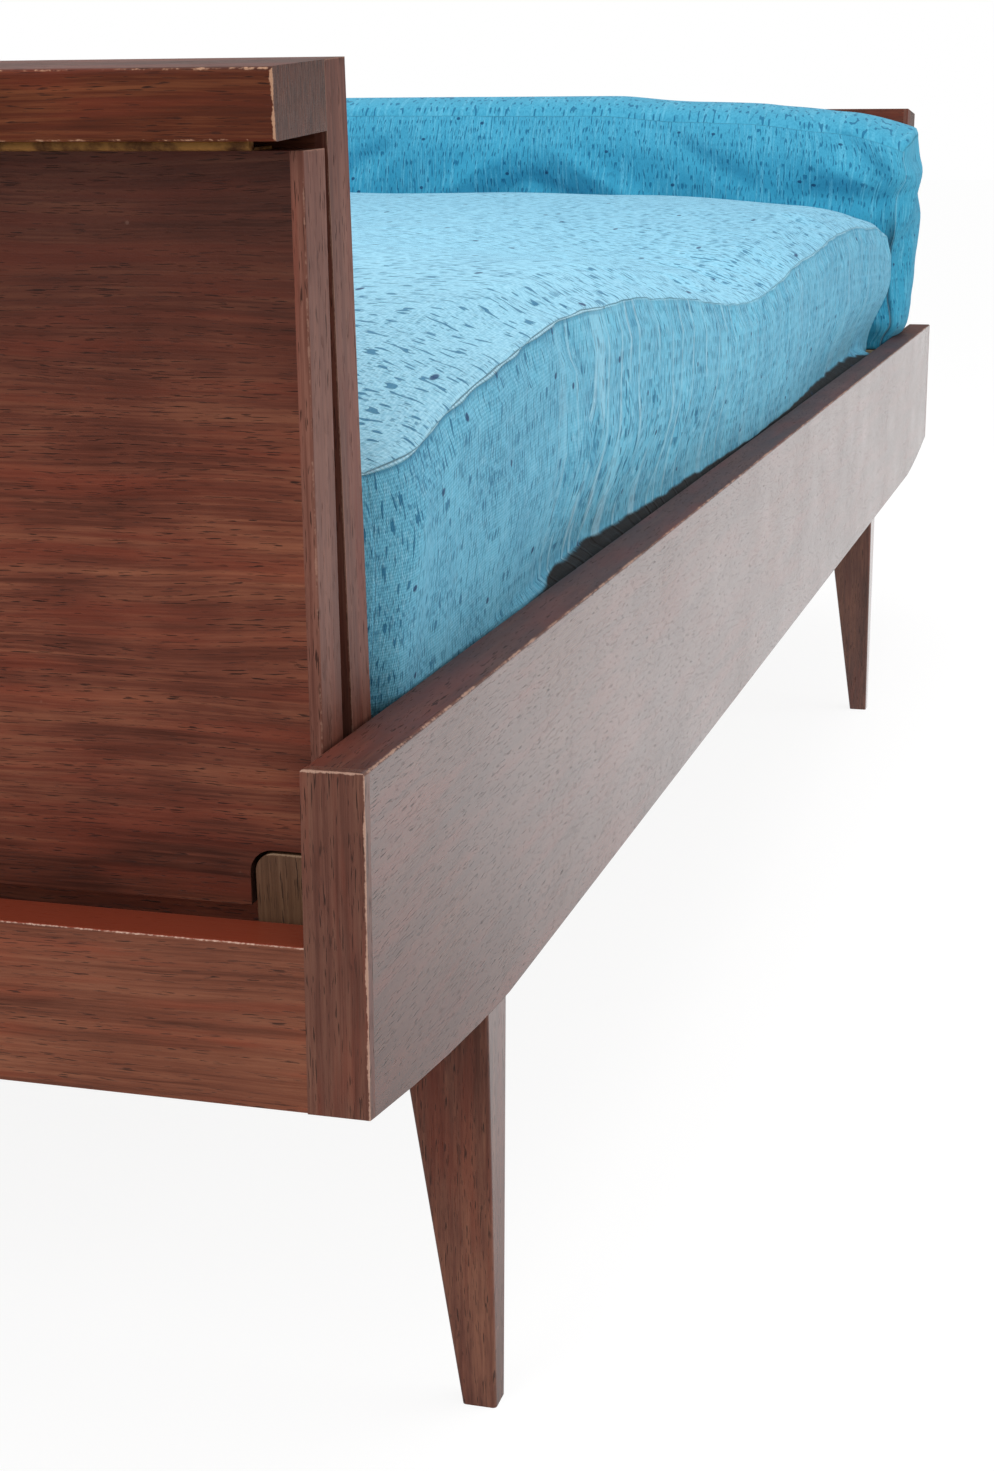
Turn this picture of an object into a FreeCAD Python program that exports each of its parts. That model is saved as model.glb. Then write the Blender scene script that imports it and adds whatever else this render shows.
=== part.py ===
import FreeCAD, Part
import math
import os

# Extendable daybed: two long rails on tapered legs, a slatted platform with a loose mattress,
# and at each end a leaning panel that folds outward to lengthen the bed. A flap hangs on a
# continuous hinge under each panel's top rail and swings down as the leg of the folded panel.
# X runs along the length with the near end at -X, Y runs front (-Y) to back, Z is up.
# The origin lies on the floor under the middle of the bed.

# Long rails
rail_length = 2150.0
frame_width = 880.0
rail_thickness = 25.0
rail_top = 354.0
rail_bottom = 198.0
rail_sweep_length = 200.0       # each end of the lower edge sweeps up over this length
rail_sweep_rise = 20.5
rail_sweep_sag = 2.6            # the swept edge hangs this far under its chord
rail_edge_radius = 1.5
cap_thickness = 6.0             # solid lipping with upright grain over each rail end

# End rails between the long rails
end_rail_thickness = 25.0
end_rail_top = 285.0
end_rail_edge_radius = 1.2

# Legs, the same piece four times
leg_width = 34.0
leg_depth = 46.0
foot_width = 15.5
foot_depth = 16.5
foot_shift = 12.6               # the leg's end side draws in by this much down to the foot
leg_edge_radius = 2.0
near_leg_setback = 162.0        # from the rail's near end to the leg
far_leg_setback = 520.0         # the far pair stands further in
leg_screw_radius = 4.0
leg_screw_head_radius = 7.5     # to the corners of its hexagonal head
leg_screw_head_height = 5.5
leg_screw_grip = 14.0           # how far the screw enters the rail
leg_screw_margin = 24.0         # from the rail's lower edge to the screw

# Cross bearers tie each pair of legs
bearer_height = 55.0

# Slatted platform
platform_drop = 12.0            # from the rail's top down to the platform
slat_count = 9
slat_width = 90.0
slat_thickness = 18.0
slat_side_gap = 2.0
slat_end_margin = 26.0          # from the ledger's end to the first slat
slat_edge_radius = 2.0
ledger_width = 25.0
ledger_height = 25.0
ledger_end_gap = 8.0            # clear of the panel's swinging tail
slat_screw_radius = 2.5
slat_screw_head_radius = 5.0
slat_screw_length = 34.0
tape_width = 22.0
tape_thickness = 0.8
tape_inset = 110.0              # from the ledger to the tape that joins the slats

# End panels, measured from their pivot in the panel's own upright frame
panel_lean = 4.0                # degrees outward at rest
panel_thickness = 24.0
panel_side_gap = 3.0
panel_face_setback = 93.0       # rail end to the panel's inner face, at the height of the rail's top
panel_rise = 304.0
panel_tail = 37.0
pivot_drop = 42.0               # from the platform down to the pivot
pivot_inset = 48.0              # from the panel's inner face to the pivot
panel_droop = 1.2               # degrees below level when the panel is folded out
lipping_thickness = 5.0
panel_edge_radius = 1.5
top_rail_depth = 53.5
top_rail_height = 25.0
top_rail_edge_radius = 2.0

# Pivot blocks on the outer side of the panel's tail, and the plates on the long rails
block_width = 30.0
block_rise = 9.6
block_depth = 35.0
block_corner_radius = 8.0
pivot_pin_radius = 5.0
pivot_pin_reach = 22.0
pivot_pin_clearance = 0.1
pivot_plate_width = 30.0
pivot_plate_thickness = 2.2

# Continuous hinge under the top rail
hinge_inset = 19.0              # from the flap's side edge to the hinge's end
knuckle_radius = 2.5
knuckle_count = 5
knuckle_gap = 0.4
leaf_thickness = 1.0
leaf_width = 20.0
hinge_pin_radius = 0.9
hinge_pin_clearance = 0.1

# Flap under the top rail
flap_thickness = 24.0
flap_gap = 2.5                  # between panel and flap at the hinge
flap_opening = 2.1              # degrees that the flap stands off the panel at rest
flap_hinge_setoff = 0.5         # the pin's centre stands proud of the flap's outer face
flap_floor_gap = 2.8            # under the flap when it stands as the folded panel's leg
flap_edge_radius = 1.2
notch_clearance = 1.6
glide_radius = 7.0
glide_height = 1.5
glide_inset = 90.0

# Mattress
seat_clearance = 0.3
mattress_end_gap = 4.0
mattress_side_gap = 3.0
mattress_height = 170.0         # platform to the crown of the worn-in top
mattress_seam_height = 152.0    # platform to the top seam where it lies highest
mattress_seam_fall = 42.0       # the seam wanders down by as much as this
mattress_end_fall = 22.0        # the crown's drop at each end
mattress_bulge = 5.0            # sides swell between their corners
mattress_corner_radius = 50.0   # seen from above
mattress_shoulder = 90.0        # from the seam to where the top levels out
mattress_foot_bevel = 14.0
# Along the mattress: the place of each section, how far its seam and its crown have fallen,
# how much of the crown it has and how much of the corner's radius is taken off
mattress_section_shares = (
    (0.0, 1.0, 1.0, 0.06, 1.0), (0.006, 1.0, 0.95, 0.22, 0.38), (0.025, 0.83, 0.75, 0.6, 0.03),
    (0.1, 0.31, 0.4, 1.0, 0.0), (0.22, 0.05, 0.05, 1.0, 0.0), (0.4, 0.6, 0.0, 1.0, 0.0),
    (0.52, 0.83, 0.0, 1.0, 0.0), (0.66, 0.31, 0.0, 1.0, 0.0), (0.8, 0.07, 0.05, 1.0, 0.0),
    (0.95, 0.33, 0.45, 0.85, 0.0), (0.99, 0.57, 0.85, 0.3, 0.23), (1.0, 0.7, 1.0, 0.06, 1.0))
# On the shoulder from seam to crown: the place and height of its middle, and its end's height
shoulder_middle_share = 0.36
shoulder_middle_rise_share = 0.48
shoulder_rise_share = 0.84

# Cushion that stands against the far panel
cushion_thickness = 140.0
cushion_height = 262.0          # platform to the top seam
cushion_crown = 18.0
cushion_bulge = 7.0
cushion_side_gap = 4.0
cushion_panel_gap = 2.0
cushion_end_dip = 26.0
cushion_draw = 10.0
cushion_foot_bevel = 12.0
cushion_share = (0.0, 0.012, 0.05, 0.2, 0.5, 0.8, 0.95, 0.988, 1.0)
cushion_fall_share = (1.0, 0.62, 0.35, 0.11, 0.0, 0.11, 0.35, 0.62, 1.0)

# Worked out from the sizes above
half_length = rail_length / 2
half_width = frame_width / 2
inner_half_width = half_width - rail_thickness
rail_end_bottom = rail_bottom + rail_sweep_rise
platform = rail_top - platform_drop
lean = math.radians(panel_lean)
pivot_height = platform - pivot_drop
pivot_setback = (panel_face_setback + (rail_top - pivot_height) * math.tan(lean)
                 - pivot_inset / math.cos(lean))
panel_half_width = inner_half_width - panel_side_gap
hinge_rise = panel_rise - top_rail_height - knuckle_radius
hinge_offset = panel_thickness + flap_gap + flap_thickness + flap_hinge_setoff - pivot_inset
hinge_half_length = panel_half_width - hinge_inset
droop = math.radians(panel_droop)
folded_hinge_height = (pivot_height - hinge_offset * math.cos(droop)
                       - hinge_rise * math.sin(droop))
flap_length = folded_hinge_height - flap_floor_gap
tail_reach = pivot_setback + math.hypot(pivot_inset, panel_tail)
ledger_half_length = half_length - tail_reach - ledger_end_gap
leg_tongue = leg_depth - rail_thickness
leg_top = platform - slat_thickness - ledger_height

X_AXIS = FreeCAD.Vector(1, 0, 0)
Y_AXIS = FreeCAD.Vector(0, 1, 0)
Z_AXIS = FreeCAD.Vector(0, 0, 1)
ORIGIN = FreeCAD.Vector(0, 0, 0)


def vec(x, y, z):
    return FreeCAD.Vector(x, y, z)


def block(x0, x1, y0, y1, z0, z1):
    return Part.makeBox(x1 - x0, y1 - y0, z1 - z0, vec(x0, y0, z0))


def rod(radius, start, length, direction):
    return Part.makeCylinder(radius, length, start, direction)


def mirror_x(shape):
    return shape.mirror(ORIGIN, X_AXIS)


def mirror_y(shape):
    return shape.mirror(ORIGIN, Y_AXIS)


def line(a, b):
    return Part.LineSegment(a, b).toShape()


def arc(a, middle, b):
    return Part.Arc(a, middle, b).toShape()


def solid_between(edges, direction):
    return Part.Face(Part.Wire(edges)).extrude(direction)


def soften(shape, radius, wanted):
    # Rounds the straight edges that the test picks out by their middle and direction.
    picked = []
    for edge in shape.Edges:
        if edge.Curve.TypeId != "Part::GeomLine":
            continue
        start = edge.Vertexes[0].Point
        end = edge.Vertexes[-1].Point
        if wanted((start + end) / 2, (end - start).normalize()):
            picked.append(edge)
    return shape.makeFillet(radius, picked)


# Long rails, end caps and end rails

def rail_outline(y):
    near = -half_length
    far = half_length
    chord = (rail_bottom + rail_end_bottom) / 2 - rail_sweep_sag
    reach = rail_sweep_length
    near_low = vec(near, y, rail_end_bottom)
    near_foot = vec(near + reach, y, rail_bottom)
    far_foot = vec(far - reach, y, rail_bottom)
    far_low = vec(far, y, rail_end_bottom)
    near_high = vec(near, y, rail_top)
    far_high = vec(far, y, rail_top)
    return [arc(near_low, vec(near + reach / 2, y, chord), near_foot),
            line(near_foot, far_foot),
            arc(far_foot, vec(far - reach / 2, y, chord), far_low),
            line(far_low, far_high),
            line(far_high, near_high),
            line(near_high, near_low)]


def whole_rail():
    body = solid_between(rail_outline(-half_width), Y_AXIS * rail_thickness)
    return soften(body, rail_edge_radius, lambda mid, way: mid.z > rail_top - rail_edge_radius
                  and abs(way.x) > abs(way.y))


def rail_cap(rail, side):
    outer = side * half_length
    inner = side * (half_length - cap_thickness)
    cutter = block(min(outer, inner), max(outer, inner), -half_width, half_width, 0, rail_top)
    return rail.common(cutter)


def long_rail(rail):
    reach = half_length - cap_thickness
    return rail.common(block(-reach, reach, -half_width, half_width, 0, rail_top))


def end_rail():
    start = -half_length
    body = block(start, start + end_rail_thickness, -inner_half_width, inner_half_width,
                 rail_end_bottom, end_rail_top)
    return soften(body, end_rail_edge_radius, lambda mid, way: abs(way.y) > abs(way.x)
                  and mid.x < start + end_rail_edge_radius and abs(way.y) > abs(way.z))


# Legs with their screws and cross bearers

def flat_face(points):
    return Part.Face(Part.makePolygon(points + points[:1]))


def leg_shank(start):
    # The leg is what its front outline and its side outline have in common.
    front = -half_width
    end = start + leg_width
    foot_start = start + foot_shift
    foot_end = foot_start + foot_width
    top = rail_end_bottom
    front_view = flat_face([vec(foot_start, front, 0), vec(foot_end, front, 0),
                            vec(end, front, top), vec(start, front, top)])
    side_view = flat_face([vec(start, front, 0), vec(start, front + foot_depth, 0),
                           vec(start, front + leg_depth, top), vec(start, front, top)])
    shank = front_view.extrude(Y_AXIS * leg_depth).common(side_view.extrude(X_AXIS * leg_width))
    return soften(shank, leg_edge_radius, lambda mid, way: abs(way.z) > abs(way.x) + abs(way.y))


def leg(start, rail, screws):
    back_of_rail = -inner_half_width
    tongue = block(start, start + leg_width, back_of_rail, back_of_rail + leg_tongue,
                   rail_bottom, leg_top)
    return leg_shank(start).fuse(tongue).cut(rail).cut(screws).removeSplitter()


def leg_screw(start):
    # A coach screw through the leg's tongue into the rail.
    centre = vec(start + leg_width / 2, -half_width + leg_depth, rail_bottom + leg_screw_margin)
    shank = rod(leg_screw_radius, centre, leg_tongue + leg_screw_grip, -Y_AXIS)
    corners = []
    for index in range(6):
        turn = math.radians(60 * index)
        corners.append(centre + vec(math.cos(turn), 0, math.sin(turn)) * leg_screw_head_radius)
    head = flat_face(corners).extrude(Y_AXIS * leg_screw_head_height)
    return shank.fuse(head)


def cross_bearer(start):
    reach = half_width - leg_depth
    return block(start, start + leg_width, -reach, reach, leg_top - bearer_height, leg_top)


# Ledgers and slats

def ledger(screws):
    top = platform - slat_thickness
    body = block(-ledger_half_length, ledger_half_length, -inner_half_width,
                 -inner_half_width + ledger_width, top - ledger_height, top)
    return body.cut(screws)


def slat_centres():
    first = -ledger_half_length + slat_end_margin + slat_width / 2
    step = -2 * first / (slat_count - 1)
    return [first + index * step for index in range(slat_count)]


def slat(centre, screws):
    reach = inner_half_width - slat_side_gap
    body = block(centre - slat_width / 2, centre + slat_width / 2, -reach, reach,
                 platform - slat_thickness, platform)
    body = soften(body, slat_edge_radius, lambda mid, way: abs(way.y) > abs(way.x) + abs(way.z)
                  and mid.z > platform - slat_thickness / 2)
    return body.cut(screws)


def slat_screw(x, y):
    # Countersunk: the head narrows to the shank at 45 degrees.
    neck = platform - (slat_screw_head_radius - slat_screw_radius)
    tip = platform - slat_screw_length
    profile = flat_face([vec(x, y, platform), vec(x + slat_screw_head_radius, y, platform),
                         vec(x + slat_screw_radius, y, neck), vec(x + slat_screw_radius, y, tip),
                         vec(x, y, tip)])
    return profile.revolve(vec(x, y, 0), Z_AXIS, 360)


def slat_screws():
    # Only the first and the last slat are screwed down. Tapes join the rest to them.
    y = inner_half_width - ledger_width / 2
    centres = slat_centres()
    return [slat_screw(x, side * y) for x in (centres[0], centres[-1]) for side in (-1, 1)]


def slat_tape():
    reach = slat_centres()[-1] + slat_width / 2
    outer = -inner_half_width + ledger_width + tape_inset
    top = platform - slat_thickness
    return block(-reach, reach, outer, outer + tape_width, top - tape_thickness, top)


# End panel, built upright about its pivot: inward is +X, outward is -X

def place_panel(shape):
    placed = shape.copy()
    placed.rotate(ORIGIN, Y_AXIS, -panel_lean)
    placed.translate(vec(pivot_setback - half_length, 0, pivot_height))
    return placed


def place_flap(shape):
    opened = shape.copy()
    opened.rotate(vec(-hinge_offset, 0, hinge_rise), Y_AXIS, flap_opening)
    return place_panel(opened)


def panel_slab(y0, y1):
    inner = pivot_inset
    return block(inner - panel_thickness, inner, y0, y1, -panel_tail, panel_rise)


def panel_board():
    reach = panel_half_width - lipping_thickness
    return place_panel(panel_slab(-reach, reach))


def panel_lipping():
    outer = -panel_half_width
    body = panel_slab(outer, outer + lipping_thickness)
    body = soften(body, panel_edge_radius, lambda mid, way: abs(way.z) > abs(way.x)
                  and mid.y < outer + panel_edge_radius and mid.x > pivot_inset - panel_edge_radius)
    return place_panel(body)


def top_rail():
    inner = pivot_inset - panel_thickness
    body = block(inner - top_rail_depth, inner, -panel_half_width, panel_half_width,
                 panel_rise - top_rail_height, panel_rise)
    body = soften(body, top_rail_edge_radius, lambda mid, way: abs(way.y) > abs(way.x)
                  and mid.x < inner - top_rail_depth + top_rail_edge_radius)
    return place_panel(body)


def pivot_block():
    inner = pivot_inset - panel_thickness
    outer = inner - block_depth
    y0 = -panel_half_width
    body = block(outer, inner, y0, y0 + block_width, -panel_tail, block_rise)
    body = soften(body, block_corner_radius, lambda mid, way: abs(way.x) > abs(way.y)
                  and mid.z > 0 and mid.y > y0 + block_width / 2)
    bore = rod(pivot_pin_radius + pivot_pin_clearance, vec(0, y0, 0),
               pivot_pin_reach + pivot_pin_clearance, Y_AXIS)
    return place_panel(body.cut(bore))


def pivot_plate():
    # A square plate on the long rail's inner face carries the pin.
    half = pivot_plate_width / 2
    wall = -inner_half_width
    face = wall + pivot_plate_thickness
    plate = block(-half, half, wall, face, -half, half)
    pin = rod(pivot_pin_radius, vec(0, face, 0),
              panel_side_gap - pivot_plate_thickness + pivot_pin_reach, Y_AXIS)
    placed = plate.fuse(pin)
    placed.translate(vec(pivot_setback - half_length, 0, pivot_height))
    return placed


# Continuous hinge: its knuckles belong by turns to the fixed and the moving leaf

def hinge_axis_point(y):
    return vec(-hinge_offset, y, hinge_rise)


def knuckles(parity):
    pitch = 2 * hinge_half_length / knuckle_count
    pieces = []
    for index in range(parity, knuckle_count, 2):
        start = -hinge_half_length + index * pitch + knuckle_gap / 2
        pieces.append(rod(knuckle_radius, hinge_axis_point(start), pitch - knuckle_gap, Y_AXIS))
    return pieces


def hinge_bore():
    return rod(hinge_pin_radius + hinge_pin_clearance, hinge_axis_point(-hinge_half_length),
               2 * hinge_half_length, Y_AXIS)


def hinge_relief(parity):
    # Clears the plate round the knuckles that belong to the other leaf.
    pitch = 2 * hinge_half_length / knuckle_count
    reach = knuckle_radius + knuckle_gap
    pieces = []
    for index in range(1 - parity, knuckle_count, 2):
        start = -hinge_half_length + index * pitch - knuckle_gap / 2
        pieces.append(rod(reach, hinge_axis_point(start), pitch + knuckle_gap, Y_AXIS))
    return pieces


def hinge_leaf(parity, low):
    plate = block(-hinge_offset, -hinge_offset + leaf_width, -hinge_half_length,
                  hinge_half_length, low, low + leaf_thickness)
    leaf = plate.cut(hinge_relief(parity)).fuse(knuckles(parity)).cut(hinge_bore())
    return leaf.removeSplitter()


def fixed_leaf():
    return place_panel(hinge_leaf(0, hinge_rise + knuckle_radius - leaf_thickness))


def moving_leaf():
    return place_flap(hinge_leaf(1, hinge_rise - knuckle_radius))


def hinge_pin():
    return place_panel(rod(hinge_pin_radius, hinge_axis_point(-hinge_half_length),
                           2 * hinge_half_length, Y_AXIS))


# Flap, built parallel to the panel and then opened a little about the hinge

def flap_slab(y0, y1):
    outer = -hinge_offset + flap_hinge_setoff
    top = hinge_rise - knuckle_radius
    return block(outer, outer + flap_thickness, y0, y1, hinge_rise - flap_length, top)


def flap_notch():
    # The lower corner clears the pivot block, with the block's own rounded corner.
    y0 = -inner_half_width
    y1 = -panel_half_width + block_width + notch_clearance
    notch_top = block_rise + notch_clearance
    radius = block_corner_radius + notch_clearance
    deep = hinge_offset + flap_thickness
    body = block(-deep, deep, y0, y1, -pivot_height, notch_top)
    return soften(body, radius, lambda mid, way: abs(way.x) > abs(way.y) + abs(way.z)
                  and mid.z > 0 and mid.y > y0 + block_width / 2)


def flap_board():
    reach = panel_half_width - lipping_thickness
    notch = flap_notch()
    return place_flap(flap_slab(-reach, reach).cut(notch).cut(mirror_y(notch)))


def flap_lipping():
    outer = -panel_half_width
    body = flap_slab(outer, outer + lipping_thickness).cut(flap_notch())
    body = soften(body, flap_edge_radius, lambda mid, way: abs(way.z) > abs(way.x)
                  and mid.y < outer + flap_edge_radius)
    return place_flap(body)


def flap_glides():
    middle = -hinge_offset + flap_hinge_setoff + flap_thickness / 2
    foot = hinge_rise - flap_length
    reach = panel_half_width - glide_inset
    return [place_flap(rod(glide_radius, vec(middle, side * reach, foot), glide_height, -Z_AXIS))
            for side in (-1, 1)]


# Soft pieces, lofted through sections of lines and arcs

def cushion_section(place, half_base, base, seam, top, bulge, foot, shift):
    # place turns a width and a height into a point of the section's plane.
    # top lists the edges from the right seam to the left one.
    low = half_base - foot
    left_low = place(-low, base)
    right_low = place(low, base)
    right_heel = place(half_base, base + foot)
    left_heel = place(-half_base, base + foot)
    right_seam = place(half_base + shift, seam)
    left_seam = place(-half_base + shift, seam)
    middle = (base + foot + seam) / 2
    return Part.Wire([
        line(left_low, right_low),
        line(right_low, right_heel),
        arc(right_heel, place(half_base + shift / 2 + bulge, middle), right_seam),
        *top,
        arc(left_seam, place(-half_base + shift / 2 - bulge, middle), left_heel),
        line(left_heel, left_low)])


def shouldered_top(place, half, seam, crown):
    level = half - mattress_shoulder
    bend = half - mattress_shoulder * shoulder_middle_share
    bend_height = seam + crown * shoulder_middle_rise_share
    level_height = seam + crown * shoulder_rise_share
    return [arc(place(half, seam), place(bend, bend_height), place(level, level_height)),
            arc(place(level, level_height), place(0, seam + crown), place(-level, level_height)),
            arc(place(-level, level_height), place(-bend, bend_height), place(-half, seam))]


def mattress_span():
    near = -half_length + panel_face_setback + platform_drop * math.tan(lean) + mattress_end_gap
    far = cushion_back() - cushion_thickness - mattress_end_gap - cushion_bulge
    return near, far


def cushion_back():
    face = half_length - panel_face_setback - platform_drop * math.tan(lean)
    return face - cushion_panel_gap


def mattress():
    near, far = mattress_span()
    base = platform + seat_clearance
    half_base = inner_half_width - mattress_side_gap - mattress_bulge
    sections = []
    for share, seam_share, fall_share, crown_share, corner_share in mattress_section_shares:
        x = near + share * (far - near)
        half = half_base - corner_share * mattress_corner_radius
        seam = base + mattress_seam_height - seam_share * mattress_seam_fall
        peak = base + mattress_height - fall_share * mattress_end_fall
        crown = (peak - seam) * crown_share

        def place(width, height):
            return vec(x, width, height)

        top = shouldered_top(place, half, seam, crown)
        sections.append(cushion_section(place, half, base, seam, top, mattress_bulge,
                                        mattress_foot_bevel, 0))
    return Part.makeLoft(sections, True, True)


def end_cushion():
    base = platform + seat_clearance
    back = cushion_back()
    reach = inner_half_width - cushion_side_gap
    half_base = (cushion_thickness - cushion_bulge) / 2
    centre = back - cushion_bulge - half_base
    sections = []
    for share, fall in zip(cushion_share, cushion_fall_share):
        y = -reach + share * 2 * reach
        half = half_base - fall * cushion_draw
        seam = base + cushion_height - fall * cushion_end_dip
        shift = (seam - base) * math.tan(lean)

        def place(width, height):
            return vec(centre + width, y, height)

        top = [arc(place(half + shift, seam), place(shift, seam + cushion_crown),
                   place(-half + shift, seam))]
        sections.append(cushion_section(place, half, base, seam, top, cushion_bulge,
                                        cushion_foot_bevel, shift))
    return Part.makeLoft(sections, True, True)


def both_sides(name, shape):
    # The back piece is the front one mirrored.
    front = name.replace("SIDE", "front")
    back = name.replace("SIDE", "back")
    return {front: shape, back: mirror_y(shape)}


def end_pieces():
    pieces = {
        "END_panel_board": panel_board(),
        "END_top_rail": top_rail(),
        "END_hinge_fixed_leaf": fixed_leaf(),
        "END_hinge_pin": hinge_pin(),
        "END_hinge_moving_leaf": moving_leaf(),
        "END_flap_board": flap_board(),
        "END_flap_glides": Part.makeCompound(flap_glides()),
        "END_end_rail": end_rail()}
    pieces.update(both_sides("END_SIDE_panel_lipping", panel_lipping()))
    pieces.update(both_sides("END_SIDE_pivot_block", pivot_block()))
    pieces.update(both_sides("END_SIDE_pivot_plate", pivot_plate()))
    pieces.update(both_sides("END_SIDE_flap_lipping", flap_lipping()))
    return pieces


def frame_pieces():
    rail = whole_rail()
    leg_starts = {"near": -half_length + near_leg_setback,
                  "far": half_length - far_leg_setback - leg_width}
    screws = [leg_screw(start) for start in leg_starts.values()]
    slat_fixings = slat_screws()
    pieces = {}
    pieces.update(both_sides("SIDE_rail", long_rail(rail).cut(screws)))
    pieces.update(both_sides("SIDE_rail_near_cap", rail_cap(rail, -1)))
    pieces.update(both_sides("SIDE_rail_far_cap", rail_cap(rail, 1)))
    pieces.update(both_sides("SIDE_ledger", ledger(slat_fixings)))
    for end, start in leg_starts.items():
        pieces.update(both_sides("SIDE_" + end + "_leg", leg(start, rail, screws)))
        pieces[end + "_cross_bearer"] = cross_bearer(start)
    pieces["leg_screws"] = Part.makeCompound(screws + [mirror_y(screw) for screw in screws])
    pieces["slat_screws"] = Part.makeCompound(slat_fixings)
    pieces["slat_tapes"] = Part.makeCompound([slat_tape(), mirror_y(slat_tape())])
    for index, centre in enumerate(slat_centres()):
        pieces["slat_" + str(index + 1)] = slat(centre, slat_fixings)
    return pieces


def build():
    pieces = frame_pieces()
    for name, shape in end_pieces().items():
        pieces[name.replace("END", "near")] = shape
        pieces[name.replace("END", "far")] = mirror_x(shape)
    pieces["mattress"] = mattress()
    pieces["end_cushion"] = end_cushion()
    return pieces


os.makedirs("parts", exist_ok=True)
for name, shape in build().items():
    shape.exportStep("parts/" + name + ".step")
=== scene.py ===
import math

import bpy
import numpy as np
from mathutils import Matrix, Vector


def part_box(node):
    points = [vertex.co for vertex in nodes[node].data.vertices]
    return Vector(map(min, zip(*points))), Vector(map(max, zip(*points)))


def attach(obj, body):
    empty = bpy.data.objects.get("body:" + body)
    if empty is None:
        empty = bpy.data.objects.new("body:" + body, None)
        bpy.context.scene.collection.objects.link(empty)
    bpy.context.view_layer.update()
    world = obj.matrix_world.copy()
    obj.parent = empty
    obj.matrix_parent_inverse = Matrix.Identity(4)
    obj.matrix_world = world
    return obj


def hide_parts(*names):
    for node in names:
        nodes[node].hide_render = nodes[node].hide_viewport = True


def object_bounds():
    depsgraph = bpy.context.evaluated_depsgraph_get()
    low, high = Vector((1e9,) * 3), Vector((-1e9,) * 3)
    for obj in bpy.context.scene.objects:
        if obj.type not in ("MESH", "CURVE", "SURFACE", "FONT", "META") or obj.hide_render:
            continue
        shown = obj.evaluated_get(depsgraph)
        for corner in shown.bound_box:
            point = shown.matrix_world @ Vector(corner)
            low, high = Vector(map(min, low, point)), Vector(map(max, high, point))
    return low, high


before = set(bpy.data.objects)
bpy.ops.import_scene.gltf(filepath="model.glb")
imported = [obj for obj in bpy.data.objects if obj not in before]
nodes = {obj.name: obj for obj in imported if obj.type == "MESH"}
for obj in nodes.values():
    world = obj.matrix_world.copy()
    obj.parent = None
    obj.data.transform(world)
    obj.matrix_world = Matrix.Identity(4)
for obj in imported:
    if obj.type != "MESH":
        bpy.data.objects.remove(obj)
cadBox = [list(corner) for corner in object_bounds()]
print("frame loaded with", len(nodes), "nodes")

mm = 0.001
inMm = 1000.0         # millimetres in a metre
tiny = 1e-6           # metres, tells the rows of a cover's grid from each other
thin = 1e-4           # metres, the same once a cover has settled and been subdivided
nearlyNone = 1e-9     # keeps divisions from zero


# Shader sockets as values

class Socket:
    # Wraps one output of a shader tree. Sums and products of sockets add their Math nodes.
    def __init__(self, tree, out=None):
        self.tree = tree
        self.out = out

    def make(self, kind, settings=None, inputs=None, pick=0):
        # Any node: its settings first, then the values or links of its sockets.
        made = self.tree.nodes.new(kind)
        for name, value in (settings or {}).items():
            if name == "stops":
                setStops(made.color_ramp, value)
            else:
                setattr(made, name, value)
        feed(self.tree, made, inputs or {})
        return Socket(self.tree, made.outputs[pick])

    def math(self, operation, *values):
        return self.make("ShaderNodeMath", {"operation": operation}, dict(enumerate(values)))

    def __add__(self, other):
        return self.math("ADD", self, other)

    def __radd__(self, other):
        return self.math("ADD", other, self)

    def __sub__(self, other):
        return self.math("SUBTRACT", self, other)

    def __rsub__(self, other):
        return self.math("SUBTRACT", other, self)

    def __mul__(self, other):
        return self.math("MULTIPLY", self, other)

    def __rmul__(self, other):
        return self.math("MULTIPLY", other, self)

    def __truediv__(self, other):
        return self.math("DIVIDE", self, other)

    def __rtruediv__(self, other):
        return self.math("DIVIDE", other, self)

    def __pow__(self, other):
        return self.math("POWER", self, other)

    def size(self):
        return self.math("ABSOLUTE", self)

    def sine(self):
        return self.math("SINE", self)

    def most(self, other):
        return self.math("MAXIMUM", self, other)

    def rise(self, low, high):
        # 0 below low, 1 above high, smooth between them.
        return self.make("ShaderNodeMapRange", {"interpolation_type": "SMOOTHSTEP"},
                         {0: self, 1: low, 2: high, 3: 0.0, 4: 1.0})

    def parts(self):
        split = self.make("ShaderNodeSeparateXYZ", None, {0: self}).out.node
        return [Socket(self.tree, out) for out in split.outputs]

    def point(self, x, y, z):
        return self.make("ShaderNodeCombineXYZ", None, {0: x, 1: y, 2: z})

    def grow(self, factor):
        return self.make("ShaderNodeVectorMath", {"operation": "SCALE"}, {0: self, "Scale": factor})

    def noise(self, place, scale=1.0, detail=2.0, roughness=0.5):
        # Lies about 0.5.
        return self.make("ShaderNodeTexNoise", None, {"Vector": place, "Scale": scale,
                                                      "Detail": detail, "Roughness": roughness})

    def cells(self, place, scale=1.0, dimensions="3D"):
        return self.make("ShaderNodeTexVoronoi", {"voronoi_dimensions": dimensions},
                         {"Vector": place, "Scale": scale})

    def blend(self, first, second):
        # A colour from first to second by this value.
        return self.make("ShaderNodeMix", {"data_type": "RGBA"},
                         {0: self, 6: colour(first), 7: colour(second)}, pick=2)


def setStops(ramp, stops):
    while len(ramp.elements) < len(stops):
        ramp.elements.new(0.5)
    for element, (place, value) in zip(ramp.elements, stops):
        element.position = place
        element.color = (*value, 1.0)


def colour(value):
    return value if isinstance(value, Socket) else (*value, 1.0)


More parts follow.
